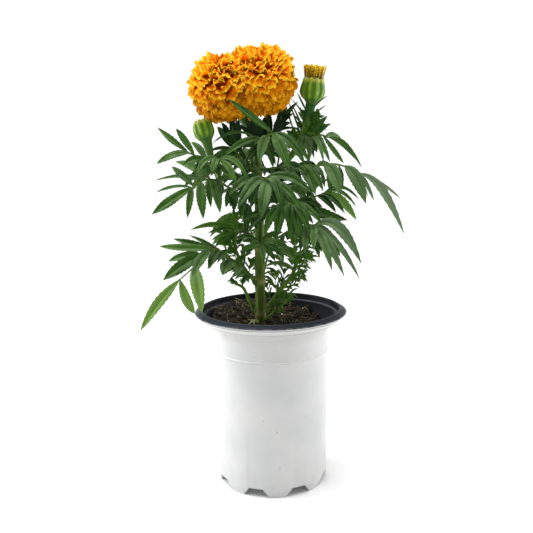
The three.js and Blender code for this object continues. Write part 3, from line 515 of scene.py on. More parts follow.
def pot_outline():
    """Radius and height round the pot's wall: the white outside, from the middle of the
    underside to the rim, then the black inside, back down to the middle of the floor."""
    h, rim, neck, foot, floor = (POT[k] for k in ("height", "rim", "neck", "foot", "floor"))
    outside = [
        # Underside and foot
        (0.01, floor), (foot - 4, floor), (foot - 3.4, 0), (foot, 0), (foot + 0.5, 0.7),
        # Wall and step
        (foot + 1.3, 5), (foot + 1.9, 60), (foot + 2.4, h - 33.6), (foot + 2.5, h - 32.9),
        (neck + 0.75, h - 32.5), (neck + 0.75, h - 32.1), (neck + 0.05, h - 31.5),
        # Neck
        (neck, h - 24), (neck, h - 15.5), (neck + 0.7, h - 13.2), (neck + 2.4, h - 11.4),
        # Flange up to the rim
        (rim - 8.4, h - 9.5), (rim - 6.2, h - 9.2), (rim - 5.8, h - 8.4), (rim - 3.4, h - 6.2),
        (rim - 1.4, h - 4.6), (rim - 1.3, h - 4.0), (rim - 0.9, h - 3.8), (rim - 0.3, h - 3.5),
    ]
    inside = [
        # Lip and its crest
        (rim, h - 2.9), (rim - 0.5, h - 2.35), (rim - 4.1, h - 0.25), (rim - 4.8, h),
        (rim - 5.5, h - 0.25), (rim - 6, h - 0.9), (rim - 6.3, h - 4.2), (rim - 6.9, h - 5.0),
        # Slope down to the throat
        (rim - 8, h - 5.2), (neck + 1.6, h - 9.8), (neck + 0.2, h - 11.6), (WALL_NECK, THROAT),
        # Wall and floor
        (WALL_NECK - 0.25, 100), (WALL_FOOT + 0.4, FLOOR_TOP + 4), (WALL_FOOT - 0.7, FLOOR_TOP + 1.2),
        (foot - 2.8, FLOOR_TOP), (0.01, FLOOR_TOP),
    ]
    return outside, inside


def foot_arches():
    """The trapezoid gaps between the feet, as one cutting shape from below the floor."""
    cutter = Shape("foot_arches")
    low, near, far = -2, 34, 60
    spread = (FEET["bottom"] - FEET["top"]) / 2 * -low / FEET["height"]
    top, bottom = FEET["top"] / 2, FEET["bottom"] / 2 + spread
    section = [(-bottom, low), (bottom, low), (top, FEET["height"]), (-top, FEET["height"])]
    for i in range(FEET["count"]):
        out = compass(math.radians(FEET["first"] + 360 / FEET["count"] * (i + 0.5)))
        side = np.cross(UP, out)
        cutter.loft([[out * r + side * s + UP * z for s, z in section] for r in (near, far)])
    return cutter


def drain_holes():
    """Round holes through the pot's floor, as one cutting shape."""
    cutter = Shape("drain_holes")
    middle = POT["floor"] + POT["floor_thickness"] / 2
    for i in range(DRAIN["count"]):
        centre = DRAIN["distance"] * compass(2 * math.pi * (i + 0.5) / DRAIN["count"])
        ends = (centre + UP * (middle + z) for z in (-4, 4))
        cutter.loft([circle(end, DRAIN["radius"], angles_round(32)) for end in ends])
    return cutter


def apply_modifiers(piece):
    """Makes what a piece's modifiers show its own mesh."""
    depsgraph = bpy.context.evaluated_depsgraph_get()
    mesh = bpy.data.meshes.new_from_object(piece.evaluated_get(depsgraph))
    piece.modifiers.clear()
    piece.data = mesh


def cut_away(piece, cutter):
    """Cuts a shape out of a piece and forgets the shape."""
    tool = cutter.place()
    cut = piece.modifiers.new("cut", "BOOLEAN")
    cut.operation, cut.solver, cut.object = "DIFFERENCE", "EXACT", tool
    apply_modifiers(piece)
    bpy.data.objects.remove(tool)


def pot():
    """One shell round the outline, with arches and holes cut out and its sharp edges rounded."""
    sides, crease = 128, 32
    outside, inside = pot_outline()
    rings = [circle(UP * z, r, angles_round(sides)) for r, z in outside + inside]
    white, black = 0, 1
    bands = [white] * len(outside) + [black] * (len(inside) - 1)
    shape = Shape("pot_finished")
    shape.loft(rings, np.append(np.repeat(bands, sides), [white, black]))
    piece = shape.make([pot_outside_look(), pot_inside_look()], ["pot"], crease=crease)
    cut_away(piece, foot_arches())
    cut_away(piece, drain_holes())
    bevel = piece.modifiers.new("soft edges", "BEVEL")
    bevel.width, bevel.segments, bevel.limit_method = 0.35 * MM, 2, "ANGLE"
    bevel.angle_limit = math.radians(50)
    apply_modifiers(piece)
    piece.data.set_sharp_from_angle(angle=math.radians(crease))


# Soil

# The soil stands a gap off the wall and widens up the lip; EDGE is about where they meet
SOIL_GAP = 0.5
LIP_SLOPE = 0.62
EDGE = 44
STREWN = {"crumbs": 520, "chips": 240, "grains": 16, "fibres": 150, "off_wall": 2.5}
# Material slots of its mesh
PEAT, BARK, PERLITE = 0, 1, 2


def soil_height(x, y):
    """The soil's level: higher at the back, lower at the right, with wide lumps."""
    slope = (SOIL["to_back"] * y - SOIL["to_right"] * x) / POT["neck"]
    lumps = (
        math.sin(0.23 * x + 1.3) * math.cos(0.19 * y + 0.4)
        + 0.6 * math.sin(0.41 * x - 0.33 * y)
        + 0.4 * math.cos(0.6 * y + 0.27 * x + 2)
    )
    return SOIL["level"] + slope + SOIL["lump"] * lumps / 2


def soil_rim(z):
    """The soil's radius at a height, a little inside the pot's wall."""
    if z < THROAT:
        return WALL_FOOT + (WALL_NECK - WALL_FOOT) * z / THROAT - SOIL_GAP
    return WALL_NECK - SOIL_GAP + (z - THROAT) * LIP_SLOPE


def soil_reach(turn):
    """The soil's radius where its top meets the wall, at an angle."""
    return soil_rim(soil_height(EDGE * math.cos(turn), EDGE * math.sin(turn)))


def soil_skin(x, y):
    """The soil's height with its crumbs: large clods, and finer grit on them."""
    clod = noise.fractal(Vector((x * 0.22, y * 0.22, 3.1)), 0.9, 2.2, 4)
    grit = noise.noise(Vector((x * 1.1, y * 1.1, 7.7)))
    return soil_height(x, y) + 1.7 * clod + 0.8 * grit


def crumb(shape, centre, size, random, slot, flat=0.75):
    """One rough lump: a low ball with uneven points."""
    rings = []
    for level in (-0.9, -0.35, 0.35, 0.9):
        ring = []
        for turn in angles_round(7):
            r = size * math.sqrt(1 - level * level) * (0.7 + 0.6 * random())
            ring.append(centre + r * compass(turn) + flat * size * level * UP)
        rings.append(ring)
    shape.loft(rings, slot)


def fibre(shape, start, length, random):
    """A thin bent strand lying on the soil."""
    turn = 2 * math.pi * random()
    points = [start]
    for _ in range(4):
        turn += 1.1 * (random() - 0.5)
        x, y, _ = points[-1] + length / 4 * compass(turn)
        points.append(vec(x, y, soil_skin(x, y) + 0.35 + 0.9 * random()))
    tube(shape, Stalk(points, [0.15 + 0.18 * random(), 0.12]), 5, 8, slot=BARK)


def soil_rings():
    """The soil's skin: out over its top, then down beside the wall and in over the floor."""
    around, across = 132, 52
    rings = []
    for i in range(1, across + 1):
        share = i / across
        ring = []
        for turn in angles_round(around):
            rim = soil_reach(turn)
            x, y, _ = rim * share * compass(turn)
            z = soil_skin(x, y) - 1.6 * smooth(share, 0.93, 1.0)
            inside = min(1, (soil_rim(z) - 0.2) / (rim * share)) if share > 0.8 else 1
            ring.append((x * inside, y * inside, z))
        rings.append(ring)
    edge = [(x, y, z, math.hypot(x, y)) for x, y, z in rings[-1]]
    bottom = FLOOR_TOP + 0.4
    for drop in (2, 5, 8, 11, 15, 60):
        ring = []
        for x, y, z, r in edge:
            low = max(z - drop, bottom)
            reach = min(soil_rim(low), r) - 0.4
            ring.append((x / r * reach, y / r * reach, low))
        rings.append(ring)
    reach = POT["foot"] - 5
    rings.append([(x / r * reach, y / r * reach, bottom) for x, y, _, r in edge])
    return rings


def soil():
    """The heap of peat, with crumbs, bark chips, white grains and fibres strewn over it."""
    shape = Shape("soil_finished")
    shape.loft(soil_rings(), PEAT)
    random = seeded(SEEDS["soil"])

    def spot(lift=0.0):
        turn, share = 2 * math.pi * random(), math.sqrt(random())
        x, y, _ = (soil_reach(turn) - STREWN["off_wall"]) * share * compass(turn)
        return vec(x, y, soil_skin(x, y) + lift)

    for _ in range(STREWN["crumbs"]):
        crumb(shape, spot() + 0.4 * random() * UP, 0.5 + 1.5 * random() ** 2, random, PEAT)
    for _ in range(STREWN["chips"]):
        crumb(shape, spot(0.3), 0.3 + 0.6 * random() ** 1.5, random, BARK, 0.35)
    for _ in range(STREWN["grains"]):
        crumb(shape, spot(0.4), 0.55 + 0.5 * random(), random, PERLITE, 0.9)
    for _ in range(STREWN["fibres"]):
        fibre(shape, spot(), 4 + 10 * random(), random)
    bark = plain_grain_look("bark_chips", (0.04, 0.026, 0.01), (0.42, 0.3, 0.15), 350)
    perlite = plain_grain_look("perlite", (0.55, 0.53, 0.48), (0.8, 0.79, 0.75), 900)
    shape.make([soil_look(), bark, perlite], ["soil"], crease=60)


# Stems

STEM_FOOT = vec(-8, 0, 100)
STEM_POINTS = [(-8, 0, z) for z in (100, 125, 150, 175, 200, 225)] + [(-8.5, 0, 250), (-10, 0, 270)]
MAIN_STEM = Stalk(STEM_POINTS, [4.1, 4.2, 4.1, 4.0, 3.8, 3.5, 3.2, 3.0])
JOINTS = [135, 162, 189, 214, 232, 249, 264]
JOINT_SWELL = 0.55
TORN_BASE = [(-17.5, -9, 133.5), (-17, -11, 130.5), (-13, -11, 130)]
# Second material slot of a leafy piece, and of the main stem
STALKS, TORN = 1, 1


def stem_share(z):
    """The share of the stem's path that lies below a height."""
    heights = [p[2] for p in MAIN_STEM.points]
    return np.interp(z, heights, np.linspace(0, 1, len(heights)))


def main_stem():
    """The ribbed stem with its swollen joints, and the torn base of an old leaf."""
    shape = Shape("main_stem_finished")
    angles = angles_round(40)
    rings, joint = [], []
    for z in np.arange(101, 270.5, 1.25):
        u = stem_share(z)
        swell = max(math.exp(-(((z - j) / 2.6) ** 2)) for j in JOINTS)
        turn = 0.012 * z
        ribs = 1 + 0.028 * np.cos(5 * (angles + turn)) + 0.012 * np.cos(11 * angles - turn)
        r = (MAIN_STEM.radius(u) - 0.1) * ribs + JOINT_SWELL * swell
        rings.append(circle(MAIN_STEM.at(u), r, angles))
        joint.append(swell)
    shape.loft(rings, joint=np.repeat(joint, len(angles)))
    for tip in TORN_BASE:
        shred = Stalk([(-10, -2.5, 129.5), (-13.5, -6, 131.5), tip], [1.7, 1.0, 0.3])
        tube(shape, shred, 8, 10, slot=TORN)
    torn = plain_grain_look("torn_stem", (0.3, 0.35, 0.11), (0.6, 0.62, 0.32), 400)
    shape.make([STEM, torn], ["main_stem"])


def seat(carrier, u, toward, swell=0.0):
    """The foot of a stalk on its carrier: two points that lead out through the carrier's skin."""
    centre, heading = carrier.at(u), carrier.heading(u)
    outward = vec(toward) - centre
    outward = unit(outward - heading * outward.dot(heading))
    skin = carrier.radius(u) + swell
    return [centre + outward * (skin + step) for step in (-0.7, 0.9)]


def flared(u, angles):
    """Stalks widen where they leave their carrier."""
    return 1 + 0.45 * math.exp(-u * 16) + 0.04 * np.cos(4 * angles)


# Leaves

LEAF_FACE = (0, -0.8, 0.6)
BACK_FACE = (0, 0.75, 0.65)
# Filler leaflets whose tips reach above this height sit under the bloom and get painted near black shade
UNDER_BLOOM = 280
BLADE = {"thickness": 0.34, "fold": 0.32, "base": 0.45}

# Places across a leaflet, from edge to edge
WIDE = np.array([-1, -0.76, -0.45, -0.16, 0, 0.16, 0.45, 0.76, 1])
NARROW = np.array([-1, -0.45, 0, 0.45, 1])


def lance(t):
    """A leaflet's width along it, 1 at its widest."""
    rise, fall = 0.78, 0.82
    peak = rise / (rise + fall)
    return t**rise * (1 - t) ** fall / (peak**rise * (1 - peak) ** fall)


def over_and_under(over, under):
    """Values across the top of a blade and back under it, with each edge once."""
    return np.concatenate([over, under[::-1][1:-1]])


def places_along(teeth):
    """Places along a leaflet: its foot, the point and the notch of each tooth, its end."""
    places = [0.0, 0.03]
    for i in range(teeth):
        places += [0.05 + 0.9 * (i + 0.5) / teeth, 0.05 + 0.9 * (i + 0.93) / teeth]
    return places + [0.975, 1.0]


def blade_section(t, half, tooth, wave, phase, across):
    """Across a leaflet at one place: how far each point lies to the side and up. The halves
    fold up from a grooved, keeled rib, hump and ripple, and thin out to their edges."""
    from_rib = np.abs(across)
    reach = half * np.where(from_rib == 1, across * tooth, across)
    hump = 0.1 * half * np.sin(math.pi * from_rib)
    ripple = wave * half * np.sin(9 * t + phase + (across > 0) * 2) * across**2
    rise = BLADE["fold"] * half * from_rib + hump + ripple
    thin = BLADE["thickness"] * (1 - 0.6 * t) * (1 - 0.75 * from_rib**6)
    groove = np.where(from_rib < 0.1, 0.12, 0) * min(half, 1)
    keel = np.where(from_rib < 0.1, 0.42, 0) * (1 - 0.75 * t)
    height = over_and_under(rise + thin / 2 - groove, rise - thin / 2 - keel)
    return over_and_under(reach, reach), height


def leaflet(shape, base, tip, width, lift, face, tone, random, teeth=10, across=WIDE, wax=0):
    """One leaflet: a thin arched blade with a sunken rib, toothed and slightly waved edges."""
    base, tip = vec(base), vec(tip)
    length = np.linalg.norm(tip - base)
    crest = (base + tip) / 2 + 2 * lift * length * UP
    roll = 0.5 * (random() - 0.5)
    phase = 2 * math.pi * random()
    wave = 0.05 + 0.06 * random()
    tone = tone + 0.3 * (random() - 0.5)
    bent = 0.06 * (random() - 0.5) * length
    places = places_along(teeth)
    rings = []
    for n, t in enumerate(places):
        centre = (1 - t) ** 2 * base + 2 * t * (1 - t) * crest + t * t * tip
        heading = unit(2 * (1 - t) * (crest - base) + 2 * t * (tip - crest))
        side = unit(np.cross(heading, face))
        side, up = rotated(side, np.cross(side, heading), roll)
        centre = centre + side * bent * math.sin(math.pi * t)
        half = max(width / 2 * lance(min(t, 0.99)), BLADE["base"] * (1 - t) + 0.1)
        tooth = (1.06, 0.93)[n % 2] if 1 < n < len(places) - 2 else 1
        reach, height = blade_section(t, half, tooth, wave, phase, across)
        rings.append(centre + np.outer(reach, side) + np.outer(height, up))
    shape.loft(
        rings,
        along=np.repeat(places, len(rings[0])),
        across=np.tile(over_and_under(across, across), len(places)),
        under=np.tile(over_and_under(0 * across, 0 * across + 1), len(places)),
        tone=tone,
        wax=wax,
    )


def undergrowth(shape, rachis, face, random):
    """The small leaflets of a leaf's inner half, which hang and spread on both sides."""
    count = int(6 + rachis.length() / 8)
    for i in range(count):
        u = 0.14 + 0.5 * (i + random()) / count
        heading = rachis.heading(u)
        side = unit(np.cross(heading, UP)) * (1 if i % 2 else -1)
        fall = (-0.2 - 0.8 * random()) * UP
        reach = (9 + 8 * random()) * (0.7 + 0.5 * u)
        base = rachis.at(u)
        tip = base + reach * unit((0.3 + 0.5 * random()) * heading + 0.8 * side + fall)
        leaflet(shape, base, tip, 2.8 + 1.6 * random(), 0.14, face, 0.1, random, 5)


def leaf_piece(name, leaf, carriers, face, random):
    """A pinnate leaf: a rachis on its carrier, its leaflets, and smaller ones behind them."""
    shape = Shape(name + "_finished")
    carrier, u = leaf.get("on") or ("main_stem", stem_share(leaf["z"]))
    swell = JOINT_SWELL if carrier == "main_stem" else 0
    foot = seat(carriers[carrier], u, leaf["rachis"][0], swell)
    rachis = Stalk(foot + leaf["rachis"], [1.15, 0.95, 0.75, 0.5])
    tube(shape, rachis, 12, max(16, int(rachis.length() / 2.5)), flared, slot=STALKS)
    tone, bright, wax = leaf.get("tone", 0.3), leaf.get("bright", {}), leaf.get("wax", {})
    for n, (share, *tip, width, lift) in enumerate(leaf["leaflets"]):
        base = rachis.at(min(share, 0.97))
        own = tone + bright.get(n, 0)
        teeth = 10 if width >= 6 else 8
        leaflet(shape, base, tip, width * 1.02, lift, face, own, random, teeth, wax=wax.get(n, 0))
    for share, *tip, width in leaf.get("fillers", ()):
        # Fillers sit behind the leaf and are painted darker as shade; those under the bloom near black
        shaded_tone = -1 if tip[2] > UNDER_BLOOM else tone - 0.3
        leaflet(shape, rachis.at(share), tip, width, 0.12, face, shaded_tone, random, 7)
    undergrowth(shape, rachis, face, random)
    shape.make([LEAF, YOUNG_STEM], [name], crease=50)


def frond(shape, base, tip, width, random):
    """A young leaf of the side shoots: a thread of a rachis with long narrow leaflets."""
    length = np.linalg.norm(tip - base)
    out = unit(tip - base)
    side = unit(np.cross(out, LEAF_FACE))
    arch = 0.1 * length * UP
    rachis = Stalk([base, (base + tip) / 2 + arch, base + 0.9 * (tip - base)], [0.42, 0.2])
    tube(shape, rachis, 6, 8, slot=STALKS)
    tone = 0.1 + 0.5 * random()
    for share in (0.22, 0.5, 0.72):
        for sign in (-1, 1):
            start = rachis.at(share + 0.06 * random())
            reach = length * (0.62 - 0.25 * share) * (0.75 + 0.5 * random())
            spread = 0.95 * out + sign * (0.45 + 0.3 * random()) * side
            spread = unit(spread + (0.15 - 0.5 * random()) * UP)
            slim = width * (0.46 + 0.14 * random())
            end = start + reach * spread
            leaflet(shape, start, end, slim, 0.12, LEAF_FACE, tone, random, 4, NARROW)
    leaflet(shape, rachis.at(0.85), tip, width * 0.62, 0.08, LEAF_FACE, tone, random, 4, NARROW)


# Side branches: joint height, path, radii, seed of its draws, a spray of fronds (how many,
# from and to which share of the path, length, width), by what share the spray shortens
# towards the tip, and extra leaflets (share of the path, tip, width).
BRANCHES = {
    "branch_left": {
        "z": 226,
        "points": [(-17, -4, 231), (-24, -8, 241), (-35, -18, 252), (-41, -22, 257)],
        "radii": [2.1, 1.9],
        "seed": 3,
        "spray": (0, 0.6, 1, 10, 2.4),
    },
    "branch_right": {
        "z": 237,
        "points": [
            (2, 5, 241), (9, 11, 250), (20, 12, 262), (28, 8, 278), (31, 4, 291), (32.4, 2, 298),
        ],
        "radii": [2.2, 2.0, 2.6, 4.0],
        "seed": 6,
        "spray": (17, 0.5, 0.82, 20, 4),
        "shorten": 0.7,
        "extra": [
            (0.84, 22, 4, 307, 1.5), (0.86, 45, 4, 304, 1.5), (0.8, 17, -2, 302, 1.5),
            (0.62, 12, 6, 303, 1.4), (0.66, 15, 8, 301, 1.4), (0.7, 18, 8, 298, 1.4),
            (0.78, 44, 0, 297, 1.6),
        ],
    },
    "shoot_left": {
        "z": 164,
        "points": [(-18, 4, 168), (-23, 7, 176), (-28, 8, 190), (-26, 8, 202), (-30, 8, 210)],
        "radii": [1.9, 1.4, 0.8],
        "seed": 7,
        "spray": (19, 0.28, 0.98, 17, 3.4),
        "shorten": 0.4,
        "extra": [
            (0.86, -61, -4, 204, 5.5), (0.8, -45, -6, 196, 4.5), (0.85, -48, -2, 201, 4),
            (0.75, -38, 0, 192, 4.5), (0.8, -43, -2, 190, 4.5), (0.6, -42, 6, 184, 4),
        ],
    },
    "shoot_right": {
        "z": 137,
        "points": [(-1, 4, 141), (6, 5, 151), (18, 5, 167), (20, 4, 176), (19, 3, 189)],
        "radii": [2.0, 1.8, 0.9],
        "seed": 9,
        "spray": (19, 0.33, 0.98, 16, 3.2),
    },
    "sprout_right": {
        "z": 132,
        "points": [(0, -6, 136), (5, -8, 141), (15, -9, 150)],
        "radii": [1.4, 0.8],
        "seed": 11,
        "spray": (5, 0.5, 0.98, 9, 2.4),
    },
    "sprout_left": {
        "z": 138,
        "points": [(-14, 1, 141), (-18, 2, 149), (-22, 2, 157), (-28, 1, 160)],
        "radii": [1.9, 1.5, 0.9],
        "seed": 13,
        "spray": (3, 0.75, 0.98, 9, 2.4),
    },
}


def branch(name, plan):
    """A side branch, the fronds sprayed along it and its extra leaflets."""
    shape = Shape(name + "_finished")
    foot = seat(MAIN_STEM, stem_share(plan["z"]), plan["points"][0], JOINT_SWELL)
    path = Stalk(foot + plan["points"], plan["radii"])
    with_bud = name == "branch_right"
    steps = max(20, int(path.length() / 2))
    tube(shape, path, 16, steps, flared, slot=STALKS, under_bud=float(with_bud))
    random, own = seeded(plan["seed"]), seeded(plan["seed"] + 100)
    count, start, end, length, width = plan["spray"]
    for i in range(count):
        u = start + (end - start) * (i + 0.5) / count
        turn = i * 2.4 + random()
        reach = length * (0.75 + 0.5 * random()) * (1 - plan.get("shorten", 0) * (i / count) ** 2)
        base = path.at(u)
        out = vec(math.cos(turn), 0.8 * math.sin(turn), 0.35 + 0.5 * random())
        away = (base - STEM_FOOT) * (1, 1, 0)
        out = unit(out + 0.9 * unit(away))
        frond(shape, base, base + out * reach, width, own)
        if i % 2 or with_bud:
            beside = unit(out + 1.1 * (vec(own(), own(), own()) - 0.5))
            base = path.at(min(u + 0.5 / count, 1))
            frond(shape, base, base + beside * reach * 0.9, width, own)
    for u, *tip, wide in plan.get("extra", ()):
        leaflet(shape, path.at(u), tip, wide, 0.06, LEAF_FACE, 0.2, own, 6)
    shape.make([YOUNG_LEAF, YOUNG_STEM], [name], crease=50)
    return path


